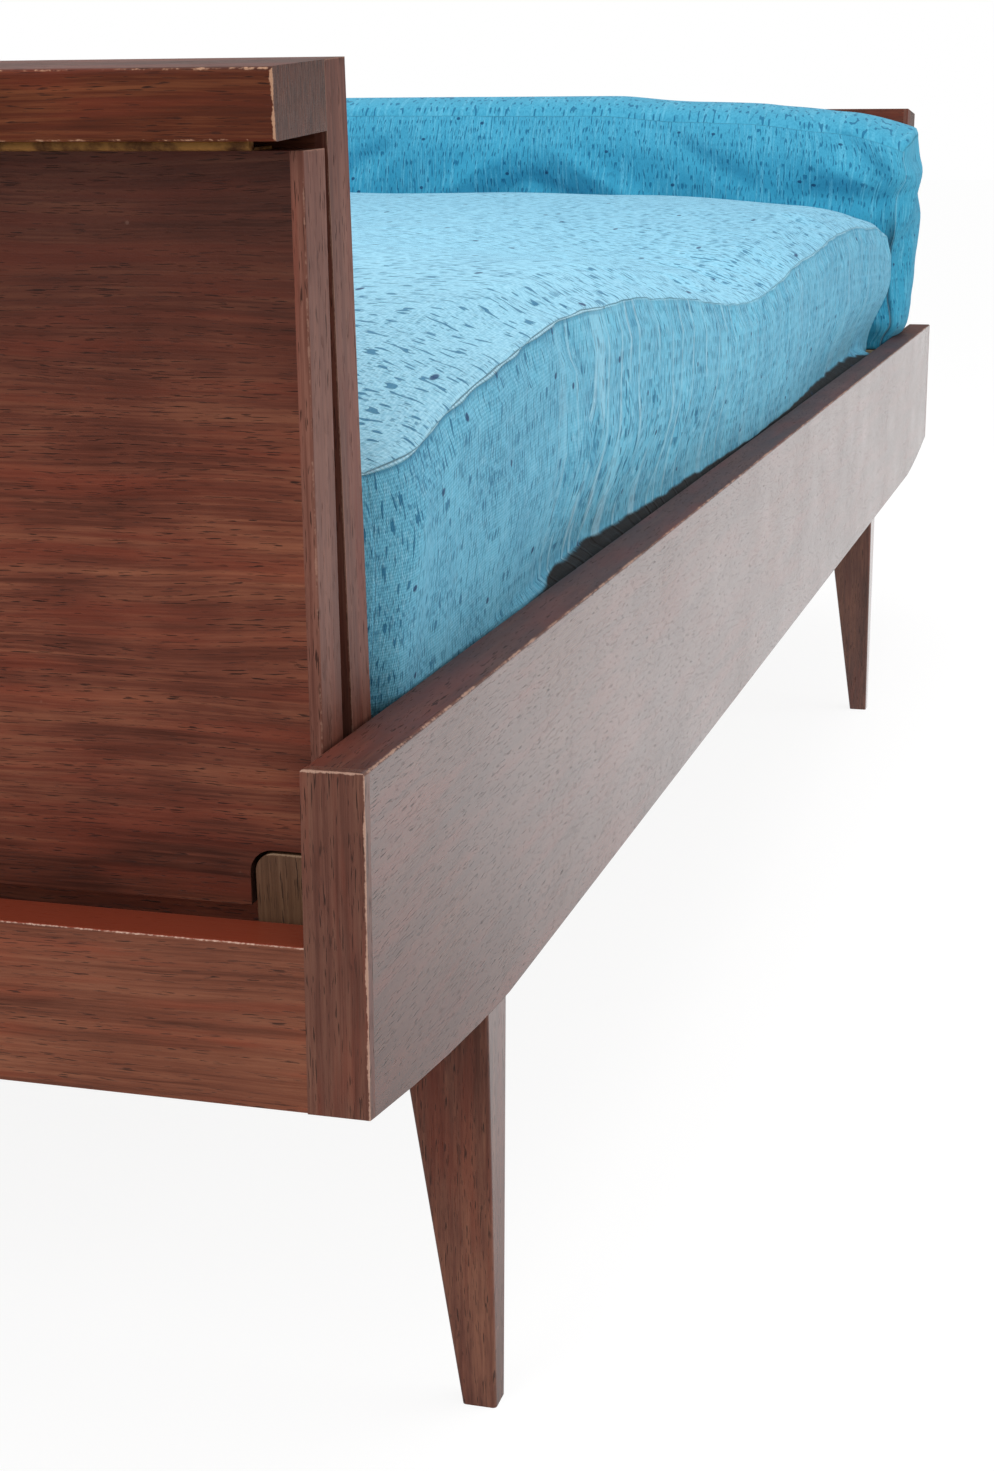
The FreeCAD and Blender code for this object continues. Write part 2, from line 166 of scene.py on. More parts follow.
def feed(tree, node, values):
    # Gives the node's sockets their links or plain values.
    for name, value in values.items():
        if isinstance(value, Socket):
            tree.links.new(value.out, node.inputs[name])
        else:
            node.inputs[name].default_value = value


def nodeOf(tree, kind):
    return next(node for node in tree.nodes if node.type == kind)


def newSurface(name):
    material = bpy.data.materials.new(name)
    material.use_nodes = True
    tree = material.node_tree
    return material, Socket(tree), nodeOf(tree, "BSDF_PRINCIPLED")


def bump(root, height, distance):
    return root.make("ShaderNodeBump", None,
                     {"Strength": 1.0, "Distance": distance, "Height": height})


def placeInMm(root, turn=0.0):
    # The point on the piece in millimetres, turned upright about Y where the piece leans.
    at = root.make("ShaderNodeTexCoord", pick="Object").grow(inMm)
    if turn:
        at = root.make("ShaderNodeVectorRotate", {"rotation_type": "Y_AXIS"},
                       {"Vector": at, "Angle": turn})
    return at


# Camera, light and floor

camera = {
    "place": (-1.85725, -0.70708, 0.57825),
    "heading": 1.3001,       # radians from +Y towards +X
    "downward": 0.2492,
    "roll": -0.0033,
    "lens": 57.73,
    "film": 36.0,            # the frame's height
    "farthest": 60.0,
}

studio = {
    "ambient": 0.62,
    "dimSide": 0.12,         # what gloss sees of the room behind the camera
    "farSide": 0.2,          # added towards the far end
    "farSideAt": (-0.3, 0.6),
    "ceiling": 0.45,         # added overhead
    "ceilingAt": (0.4, 0.85),
    "lamps": [
        {"name": "overhead_softbox", "place": (-0.1, 0.1, 2.6), "aim": (0, 0, 0.4),
         "width": 3.2, "height": 1.6, "power": 34.0},
        {"name": "front_softbox", "place": (0.4, -3.0, 1.5), "aim": (0, 0, 0.3),
         "width": 2.6, "height": 1.6, "power": 30.0},
        {"name": "near_softbox", "place": (-3.4, 0.6, 1.5), "aim": (-0.6, 0, 0.35),
         "width": 1.6, "height": 1.6, "power": 34.0},
    ],
}


def addCamera():
    heading, downward, roll = camera["heading"], camera["downward"], camera["roll"]
    forward = Vector((math.sin(heading) * math.cos(downward),
                      math.cos(heading) * math.cos(downward), -math.sin(downward)))
    level = Vector((math.cos(heading), -math.sin(heading), 0))
    upright = level.cross(forward)
    right = math.cos(roll) * level + math.sin(roll) * upright
    up = math.cos(roll) * upright - math.sin(roll) * level
    data = bpy.data.cameras.new("camera")
    data.sensor_fit = "VERTICAL"
    data.sensor_height = camera["film"]
    data.lens = camera["lens"]
    data.clip_end = camera["farthest"]
    viewer = bpy.data.objects.new("camera", data)
    viewer.matrix_world = Matrix.Translation(camera["place"]) @ Matrix(
        (right, up, -forward)).transposed().to_4x4()
    bpy.context.scene.collection.objects.link(viewer)
    bpy.context.scene.camera = viewer


def addLamp(look):
    data = bpy.data.lights.new(look["name"], "AREA")
    data.shape = "RECTANGLE"
    data.size = look["width"]
    data.size_y = look["height"]
    data.energy = look["power"]
    lamp = bpy.data.objects.new(look["name"], data)
    lamp.location = look["place"]
    aim = Vector(look["aim"]) - Vector(look["place"])
    lamp.rotation_euler = aim.to_track_quat("-Z", "Y").to_euler()
    lamp.visible_glossy = False
    bpy.context.scene.collection.objects.link(lamp)


def rayKinds(root):
    # 1 for rays of the camera, and 1 for those of gloss or glass.
    seen = root.make("ShaderNodeLightPath", pick="Is Camera Ray")
    gloss = root.make("ShaderNodeLightPath", pick="Is Glossy Ray").most(
        root.make("ShaderNodeLightPath", pick="Is Transmission Ray"))
    return seen, gloss


def addWorld():
    world = bpy.data.worlds.new("studio")
    world.use_nodes = True
    bpy.context.scene.world = world
    root = Socket(world.node_tree)
    towardsX, _, upward = root.make("ShaderNodeTexCoord", pick="Generated").parts()
    seen, gloss = rayKinds(root)
    reflected = (studio["dimSide"] + towardsX.rise(*studio["farSideAt"]) * studio["farSide"]
                 + upward.rise(*studio["ceilingAt"]) * studio["ceiling"])
    level = seen + (1.0 - seen) * (gloss * reflected + (1.0 - gloss) * studio["ambient"])
    feed(root.tree, nodeOf(root.tree, "BACKGROUND"), {"Strength": level, "Color": (1, 1, 1, 1)})


floorLook = {
    "size": 60.0,
    "drop": 0.2 * mm,        # below the feet
    "colour": (0.86, 0.86, 0.855),
    "roughness": 0.9,
    "white": 1.1,
    "glow": 0.8,             # share of plain white in what the camera sees of the floor
    "mirrored": 1.05,        # brightest that gloss sees of it, from paleAt on towards the far end
    "darkAt": -1.6,
    "paleAt": 0.4,
}


def addFloor():
    half = floorLook["size"] / 2
    mesh = bpy.data.meshes.new("floor")
    mesh.from_pydata([(-half, -half, 0), (half, -half, 0), (half, half, 0), (-half, half, 0)],
                     [], [(0, 1, 2, 3)])
    material, root, shader = newSurface("floor_white")
    feed(root.tree, shader, {"Base Color": (*floorLook["colour"], 1),
                             "Roughness": floorLook["roughness"], "Specular IOR Level": 0.0})
    seen, gloss = rayKinds(root)
    towardsX = root.make("ShaderNodeNewGeometry", pick="Position").parts()[0]
    share = towardsX.rise(floorLook["darkAt"], floorLook["paleAt"])

    def glowing(strength):
        return root.make("ShaderNodeEmission", None, {"Color": (1, 1, 1, 1), "Strength": strength})

    def mixed(factor, first, second):
        return root.make("ShaderNodeMixShader", None, {0: factor, 1: first, 2: second})

    lit = mixed(seen * floorLook["glow"], Socket(root.tree, shader.outputs[0]),
                glowing(floorLook["white"]))
    mirrored = mixed(share, glowing(0.0), glowing(floorLook["mirrored"]))
    feed(root.tree, nodeOf(root.tree, "OUTPUT_MATERIAL"), {"Surface": mixed(gloss, lit, mirrored)})
    mesh.materials.append(material)
    floor = bpy.data.objects.new("floor", mesh)
    floor.location.z = cadBox[0][2] - floorLook["drop"]
    bpy.context.scene.collection.objects.link(floor)


addCamera()
for lampLook in studio["lamps"]:
    addLamp(lampLook)
addWorld()
addFloor()
print("camera, lights and floor placed")


# Stained timber. Lengths of its grain and wear are in millimetres.

leans = (0, 4, 1.9, -4, -1.9)     # of the end panels and their flaps, in degrees about Y

# Layers of the grain: length along it, width across it, detail and roughness of the noise.
grainLayers = {
    "clouds": (170.0, 55.0, 3.0, 0.55),
    "bands": (240.0, 6.5, 4.0, 0.6),
    "streaks": (85.0, 1.7, 3.0, 0.6),
    "fibres": (24.0, 0.5, 2.0, 0.6),
    "vessels": (9.0, 0.55, 1.0, 0.55),
    "reds": (130.0, 11.0, 3.0, 0.55),
}
grainDepth = 1.6      # a layer's size into the board, in widths
# What a layer adds to the tone.
toneShares = {"bands": 1.1, "streaks": 1.3, "fibres": 0.55, "clouds": 0.9}


def ownBox(node, turn):
    # The node's box in millimetres in its own upright frame.
    corners = np.array([vertex.co for vertex in nodes[node].data.vertices]) * inMm
    x, y, z = corners.T
    turned = np.array([x * math.cos(turn) + z * math.sin(turn), y,
                       z * math.cos(turn) - x * math.sin(turn)])
    return turned.min(axis=1), turned.max(axis=1)


def uprightTurn(node):
    # Among the leans, the one that makes the node thinnest.
    def thickness(turn):
        low, high = ownBox(node, turn)
        return round(float(high[0] - low[0]), 2)

    return min((math.radians(lean) for lean in leans), key=thickness)


def edgeWearAndHighlight(root, at, edges, look):
    # 1 on the listed edges, each a pair of axes with their values, broken up by noise: worn edges,
    # which on the end rails are also a painted highlight.
    axes = dict(zip("XYZ", at.parts()))
    ragged = root.noise(at, scale=0.09, detail=4.0, roughness=0.7) - 0.42
    fine = root.noise(at, scale=0.8) - 0.5
    worn = None
    for (firstAxis, firstValue), (secondAxis, secondValue) in edges:
        first, second = axes[firstAxis] - firstValue, axes[secondAxis] - secondValue
        reach = (first ** 2.0 + second ** 2.0) ** 0.5
        soft = reach / look["edgeLineWidth"] + ragged * look["edgeLineBreaks"] + fine * look["edgeLineGrit"]
        line = 1.0 - soft.rise(0.7, 1.25)
        worn = line if worn is None else worn.most(line)
    return worn


def grainPlace(root, parts, look):
    # The point as distances along the grain and across it, bent a little as real grain is.
    x, y, z = parts
    along, across, depth = {"X": (x, z, y), "Y": (y, z, x), "Z": (z, y, x)}[look["grain"]]
    seed = look["seed"]
    drift = root.noise(root.point(along / 260.0, across / 70.0, depth / 70.0 + seed))
    return along + seed * 91.0, across + (drift - 0.5) * look["sway"], depth + seed * 37.0


def woodSurface(name, look, turn=0.0, edges=()):
    look = {**stainedWood, **look}
    material, root, shader = newSurface(name)
    at = placeInMm(root, turn)
    x, y, z = at.parts()
    along, across, depth = grainPlace(root, (x, y, z), look)
    layers = {}
    for kind, (length, width, detail, roughness) in grainLayers.items():
        place = root.point(along / length, across / width, depth / (width * grainDepth))
        layers[kind] = root.noise(place, detail=detail, roughness=roughness)
    clouds, streaks, fibres = (layers[kind] - 0.5 for kind in ("clouds", "streaks", "fibres"))
    patches = root.noise(root.point(along / 95.0, across / 60.0, depth / 60.0 + 40.0),
                         detail=4.0, roughness=0.6)
    tone = (patches - 0.5) * look["patches"]
    for kind, share in toneShares.items():
        tone = tone + (layers[kind] - 0.5) * share
    shade = root.make("ShaderNodeValToRGB",
                      {"stops": [(0.0, look["dark"]), (0.45, look["mid"]), (1.0, look["light"])]},
                      {0: tone * look["contrast"] + 0.5})

    def spots(place, scale, start, end):
        return 1.0 - root.cells(place, scale).rise(start, end)

    # Red streaks, open pores, and painted shade: the flaps' top painted darker where the top rail
    # shades it, and their foot painted darker where it sits in shadow.
    shade = (layers["reds"].rise(0.45, 0.68) * look["redness"]).blend(shade, look["red"])
    pores = layers["vessels"].rise(0.6, 0.68) * layers["streaks"].rise(0.35, 0.6) * look["pores"]
    shade = pores.blend(shade, look["pore"])
    for start, end, ragged, share, tint in look["paintedShadeBands"]:
        soft = z + clouds * ragged + streaks * (ragged / 2)
        shade = (soft.rise(start, end) * share).blend(shade, tint)
    # End grain, pale specks, dark pits, and a top painted redder and brighter as if lit from
    # above (painted light), with a duller gloss.
    facing = [part.size() for part in root.make("ShaderNodeTexCoord", pick="Normal").parts()]
    ends = facing["XYZ".index(look["grain"])].rise(0.6, 0.8)
    rings = root.noise(root.point(y / 2.0, x / 1.1, z / 11.0), detail=3.0)
    endShade = rings.rise(0.3, 0.7).blend(look["endDark"], look["endLight"])
    shade = (ends * look["ends"]).blend(shade, endShade)
    shade = (spots(at, 0.03, 0.014, 0.03) * look["chips"]).blend(shade, look["worn"])
    outward, upper = facing[1].rise(0.5, 0.9), facing[2].rise(0.5, 0.9)
    # Painted light: faces that look up painted redder and brighter, as light from above falls on
    # them.
    shade = (upper * look["litTopShare"]).blend(shade, look["litTopColour"])
    pits = spots(root.point(x + 31.0, y, z), 0.04, 0.02, 0.04)
    shade = (pits * look["pits"]).blend(shade, look["pore"])
    # Roughness and relief.
    rubbed = root.noise(at, scale=0.012, detail=4.0, roughness=0.6) - 0.5
    scuffs = root.noise(root.point((along + across * 0.55) / 70.0, (across - along * 0.3) / 1.1,
                                   depth / 9.0))
    rough = (look["roughness"] + fibres * 0.12 + pores * 0.25 + rubbed * look["rubbing"]
             + upper * look["dullTop"] + scuffs.rise(0.5, 0.75) * look["scuffs"] * 0.25)
    height = (layers["fibres"] * 0.3 + layers["streaks"] * 0.3 - pores + (rings - 0.5) * ends * 2.5
              + (scuffs - 0.5) * look["scuffs"])
    # Pale edge lines: worn edges, and on the end rails also a painted highlight along the top edge.
    if edges:
        worn = edgeWearAndHighlight(root, at, edges, look)
        shade = (worn * look["edgeLineShare"]).blend(shade, look["worn"])
        rough = rough + worn * 0.15
    feed(root.tree, shader, {"Base Color": shade, "Roughness": rough, "IOR": 1.5,
                             "Specular IOR Level": 0.5 * look["gloss"],
                             "Coat Weight": outward * look["coat"],
                             "Coat Roughness": look["coatRoughness"],
                             "Normal": bump(root, height, look["relief"] * mm)})
    return material


def paint(node, material):
    data = nodes[node].data
    data.materials.clear()
    data.materials.append(material)


# What the finishes have in common. Colours are linear. Of the shares, redness, pores, ends, chips
# (pale specks), pits and the edge lines (worn edges, on the end rails also a painted highlight)
# are strengths from 0 to 1; patches, contrast, rubbing and scuffs are how much the noise adds.
stainedWood = {
    "dark": (0.046, 0.0135, 0.0085), "mid": (0.112, 0.032, 0.0185), "light": (0.215, 0.076, 0.040),
    "pore": (0.020, 0.0075, 0.0055), "red": (0.19, 0.034, 0.0165), "worn": (0.50, 0.30, 0.22),
    "endDark": (0.060, 0.029, 0.021), "endLight": (0.150, 0.080, 0.060),
    # The top's colour and share paint light from above onto upward faces.
    "litTopColour": (0.26, 0.042, 0.018), "litTopShare": 0.0, "dullTop": 0.0,
    "contrast": 0.75, "redness": 0.45, "pores": 0.8, "ends": 0.8, "chips": 0.5, "pits": 0.0,
    "patches": 0.6, "sway": 14.0, "seed": 1.0, "roughness": 0.3, "rubbing": 0.12, "scuffs": 0.0,
    "relief": 0.14, "edgeLineShare": 0.75, "edgeLineWidth": 0.8, "edgeLineBreaks": 3.2, "edgeLineGrit": 1.2,
    "paintedShadeBands": (), "coat": 0.0, "coatRoughness": 0.12, "gloss": 1.0,
}
railLook = {"grain": "X", "roughness": 0.24, "seed": 1.3, "contrast": 0.5, "edgeLineWidth": 0.9,
            "scuffs": 0.1, "rubbing": 0.16, "pits": 0.9, "chips": 0.3, "coat": 0.26, "dullTop": 0.3,
            "mid": (0.092, 0.028, 0.018), "light": (0.18, 0.070, 0.042)}
capLook = {"patches": 1.2, "grain": "Z", "roughness": 0.34, "seed": 2.9, "sway": 5.0, "ends": 0.3,
           "mid": (0.125, 0.046, 0.031), "light": (0.21, 0.092, 0.058), "edgeLineWidth": 0.8}
# The end rails' top is painted redder and brighter, as lit from above: painted light.
endRailLook = {"grain": "Y", "roughness": 0.33, "seed": 4.1, "edgeLineWidth": 0.6, "edgeLineBreaks": 1.0,
               "mid": (0.165, 0.050, 0.026), "light": (0.27, 0.098, 0.050),
               # A pale, narrow and nearly unbroken edge line: wear and a painted highlight along
               # the top's outer edge.
               "red": (0.26, 0.045, 0.018), "worn": (0.72, 0.49, 0.39), "litTopShare": 0.9,
               "patches": 1.0}
legLook = {"grain": "Z", "roughness": 0.3, "seed": 5.7, "sway": 8.0, "redness": 0.4,
           "mid": (0.140, 0.050, 0.032), "light": (0.27, 0.112, 0.066), "coat": 0.8, "patches": 1.2}
boardLook = {"grain": "Y", "roughness": 0.31, "seed": 7.9, "sway": 18.0, "pores": 0.9,
             "scuffs": 0.15, "patches": 1.5, "chips": 0.1, "contrast": 0.85, "gloss": 0.75,
             "mid": (0.128, 0.0345, 0.0195), "light": (0.245, 0.083, 0.042)}
# Painted shade on the flaps: the top painted darker where the top rail shades it, the foot
# painted darker where it sits in shadow. Start and end as shares of the board's height,
# raggedness in millimetres, strength and colour.
flapPaintedShade = [
    (0.5, 0.98, 60.0, 0.62, (0.036, 0.0155, 0.0125)),
    (0.16, 0.0, 26.0, 0.2, (0.030, 0.0105, 0.0085)),
]
topRailLook = {"grain": "Y", "patches": 1.4, "roughness": 0.3, "seed": 9.2,
               "mid": (0.084, 0.0205, 0.0095), "light": (0.20, 0.064, 0.025),
               "worn": (0.52, 0.29, 0.18), "edgeLineWidth": 0.9,
               "endDark": (0.028, 0.010, 0.007), "endLight": (0.125, 0.050, 0.032), "gloss": 0.5}
lippingLook = {"grain": "Z", "roughness": 0.46, "seed": 11.5, "sway": 4.0, "edgeLineWidth": 0.6,
               "dark": (0.040, 0.014, 0.010), "mid": (0.135, 0.048, 0.033),
               "light": (0.25, 0.108, 0.076), "edgeLineShare": 0.3, "gloss": 0.4}
blockLook = {"grain": "Z", "roughness": 0.4, "seed": 13.1, "sway": 5.0, "redness": 0.0, "ends": 0.0,
             "dark": (0.062, 0.029, 0.015), "mid": (0.135, 0.066, 0.036),
             "light": (0.21, 0.118, 0.066), "worn": (0.36, 0.23, 0.14)}
carrierLook = {"roughness": 0.45, "seed": 17.7}
slatLook = {"grain": "Y", "roughness": 0.55, "seed": 15.3, "sway": 9.0, "contrast": 0.6,
            "dark": (0.36, 0.23, 0.13), "mid": (0.52, 0.36, 0.21), "light": (0.64, 0.48, 0.31),
            "pore": (0.25, 0.15, 0.08), "redness": 0.2, "red": (0.46, 0.29, 0.16),
            "endDark": (0.36, 0.23, 0.13), "endLight": (0.5, 0.35, 0.2),
            "worn": (0.7, 0.58, 0.42), "pores": 0.3}

# What one more letter of a node's name, or the next slat, adds to the seed, so that pieces differ.
legSeedStep = 1.7
lippingSeedStep = 0.9
slatSeedStep = 2.1


def edgesAlong(node, turn, pairs):
    # Edges of the node's box as pairs of axes, each named by its side: low or high.
    low, high = ownBox(node, turn)
    sides = {"low": low, "high": high}
    return [tuple((name, float(sides[side]["XYZ".index(name)])) for name, side in pair)
            for pair in pairs]


def dress(node, look, turn=0.0, pairs=()):
    edges = edgesAlong(node, turn, pairs)
    paint(node, woodSurface(node + "_wood", look, turn, edges))


def dressRails():
    for side, outer in (("front", "low"), ("back", "high")):
        look = {**railLook, "seed": railLook["seed"] + len(side)}
        dress(side + "_rail", look, pairs=[(("Y", outer), ("Z", "high"))])
        for end, tip in (("near", "low"), ("far", "high")):
            cap = side + "_rail_" + end + "_cap"
            look = {**capLook, "seed": capLook["seed"] + len(cap)}
            dress(cap, look, pairs=[(("X", tip), ("Z", "high")), (("Y", outer), ("Z", "high")),
                                    (("X", tip), ("Y", outer))])
    for end, tip in (("near", "low"), ("far", "high")):
        dress(end + "_end_rail", endRailLook, pairs=[(("X", tip), ("Z", "high"))])


def dressLegs():
    for side in ("front", "back"):
        for end in ("near", "far"):
            node = side + "_" + end + "_leg"
            dress(node, {**legLook, "seed": legLook["seed"] + len(node) * legSeedStep})


# Where a flap's bands of painted shade start and end, in millimetres.
def flapPaintedShadeAt(node, turn):
    low, high = ownBox(node, turn)
    foot, reach = float(low[2]), float(high[2] - low[2])
    return [(foot + start * reach, foot + end * reach, *rest) for start, end, *rest in flapPaintedShade]


def dressEnds():
    for end, outer in (("near", "low"), ("far", "high")):
        turns = {part: uprightTurn(end + part + "_board") for part in ("_panel", "_flap")}
        for part, turn in turns.items():
            board = end + part + "_board"
            look = {**boardLook, "seed": boardLook["seed"] + len(board)}
            if part == "_flap":
                look["paintedShadeBands"] = flapPaintedShadeAt(board, turn)
            dress(board, look, turn)
        dress(end + "_top_rail", topRailLook, turns["_panel"],
              [(("X", outer), (axis, side)) for axis in "ZY" for side in ("low", "high")])
        for side, face in (("front", "low"), ("back", "high")):
            for part, turn in turns.items():
                lipping = end + "_" + side + part + "_lipping"
                look = {**lippingLook,
                        "seed": lippingLook["seed"] + len(lipping) * lippingSeedStep}
                dress(lipping, look, turn,
                      [(("Y", face), ("Z", "high")), (("Y", face), ("X", outer))])
            dress(end + "_" + side + "_pivot_block", blockLook, turns["_panel"],
                  [(("X", outer), ("Z", "high"))])


def dressBase():
    for node in nodes:
        kind, _, number = node.partition("_")
        if kind == "slat" and number.isdigit():
            dress(node, {**slatLook, "seed": slatLook["seed"] + int(number) * slatSeedStep})
        elif "ledger" in node or "bearer" in node:
            dress(node, {**carrierLook, "grain": "X" if "ledger" in node else "Y"})


dressRails()
dressLegs()
dressEnds()
dressBase()
print("timber finished")


# Metal, glides and tape

brassLook = {"clean": (0.52, 0.25, 0.070), "dull": (0.105, 0.036, 0.016), "roughness": 0.4,
             "metallic": 0.55}
steelLook = {"clean": (0.46, 0.45, 0.43), "dull": (0.20, 0.17, 0.14), "roughness": 0.38,
             "metallic": 1.0}
glideLook = {"clean": (0.030, 0.026, 0.023), "dull": (0.055, 0.048, 0.042), "roughness": 0.6,
             "metallic": 0.0}
tapeLook = {"thread": (0.62, 0.58, 0.50), "gap": (0.34, 0.31, 0.26), "pitch": 1.6,
            "fuzz": 0.2, "roughness": 0.9, "relief": 0.2}


def metalSurface(name, look):
    material, root, shader = newSurface(name)
    at = placeInMm(root)
    x, y, z = at.parts()
    tarnish = root.noise(at, scale=0.05, detail=5.0, roughness=0.65).rise(0.38, 0.66)
    drawn = root.noise(root.point(x / 0.35, y / 9.0, z / 0.35), detail=3.0)
    rough = look["roughness"] + tarnish * 0.25 + (drawn - 0.5) * 0.2
    feed(root.tree, shader, {"Base Color": tarnish.blend(look["clean"], look["dull"]),
                             "Metallic": look["metallic"], "Roughness": rough,
                             "Normal": bump(root, drawn, 0.03 * mm)})
    return material


def tapeSurface(name, look):
    material, root, shader = newSurface(name)
    at = placeInMm(root)
    x, y, z = at.parts()
    turn = 2 * math.pi / look["pitch"]
    weave = (x * turn).sine() * (y * turn).sine() * 0.5 + 0.5
    fuzz = root.noise(at, scale=2.0, detail=3.0)
    shade = (weave * (1.0 - look["fuzz"]) + fuzz * look["fuzz"]).blend(look["gap"], look["thread"])
    feed(root.tree, shader, {"Base Color": shade, "Roughness": look["roughness"] + fuzz * 0.05,
                             "Normal": bump(root, weave, look["relief"] * mm)})
    return material


def dressMetal():
    brass = metalSurface("aged_brass", brassLook)
    steel = metalSurface("plain_steel", steelLook)
    glide = metalSurface("glide_plastic", glideLook)
    tape = tapeSurface("woven_tape", tapeLook)
    finishes = {"hinge": brass, "screws": steel, "plate": steel, "glides": glide, "tapes": tape}
    for node in nodes:
        for word, finish in finishes.items():
            if word in node:
                paint(node, finish)
                break


dressMetal()
print("metal finished")


# Cloth. Its sizes are in millimetres.

# Threads: length, width, seed and detail of the noise, and by what share they widen on top.
threadKinds = {
    "crowd": (38.0, 30.0, 9.0, 3.0, 0.0), "nearby": (3.4, 0.9, 0.0, 0.0, 0.3),
    "distant": (7.0, 1.4, 20.0, 0.0, 1.6), "long": (10.0, 1.6, 40.0, 0.0, 1.2),
    "fine": (2.6, 0.6, 80.0, 2.0, 2.6), "slack": (900.0, 40.0, 100.0, 0.0, 0.0),
}

# What each mark adds to the relief.
clothRelief = {"dots": -0.5, "fine": 0.5, "dashes": 0.5, "long": 0.8, "pale": 0.4, "lines": 3.0,
               "hollows": -1.5, "knots": 1.2, "ridge": 2.0, "crease": -1.5}


def rolledMarks(look, place, side, onX):
    # Upright edges of the cushion, and the painted contact shadow where the mattress's end presses
    # into its front corner.
    x, y, z = place
    reach = look["halfX"] - x.size()
    # Painted shadow in the crease at each upright edge and a painted highlight on its ridge.
    crease = side * (1.0 - reach.rise(0.2, 1.0))
    ridge = side * (1.0 - (reach - 2.0).size().rise(0.3, 1.0)) * 0.4
    # Painted contact shadow: the low front corner, and where the mattress's end meets the front
    # face.
    corner = side * (1.0 - (x + look["halfX"]).rise(3.0, 11.0)) * (1.0 - z.rise(130.0, 185.0))
    tuck = onX * (1.0 - x.rise(-1.0, 1.0)) * (1.0 - (look["halfY"] - y.size()).rise(5.0, 22.0))
    return crease, ridge, corner.most(tuck * z.rise(70.0, 110.0) * (1.0 - z.rise(150.0, 200.0)))


def pipedMarks(look, place, side, plain):
    # A thin painted highlight along the seam's ridge with a fine painted shadow under it, plainer
    # where the cover is slack.
    x, _, z = place
    shown = side * (1.0 - plain * 0.7 + x.rise(0.0, 170.0) * 0.35)
    under = (look["high"] - z) * side
    crease = (1.0 - (under - 2.6).size().rise(0.3, 1.3)) * shown
    ridge = (1.0 - (under - 0.9).size().rise(0.4, 1.2)) * shown
    return crease, ridge, x * 0.0     # nothing presses on it


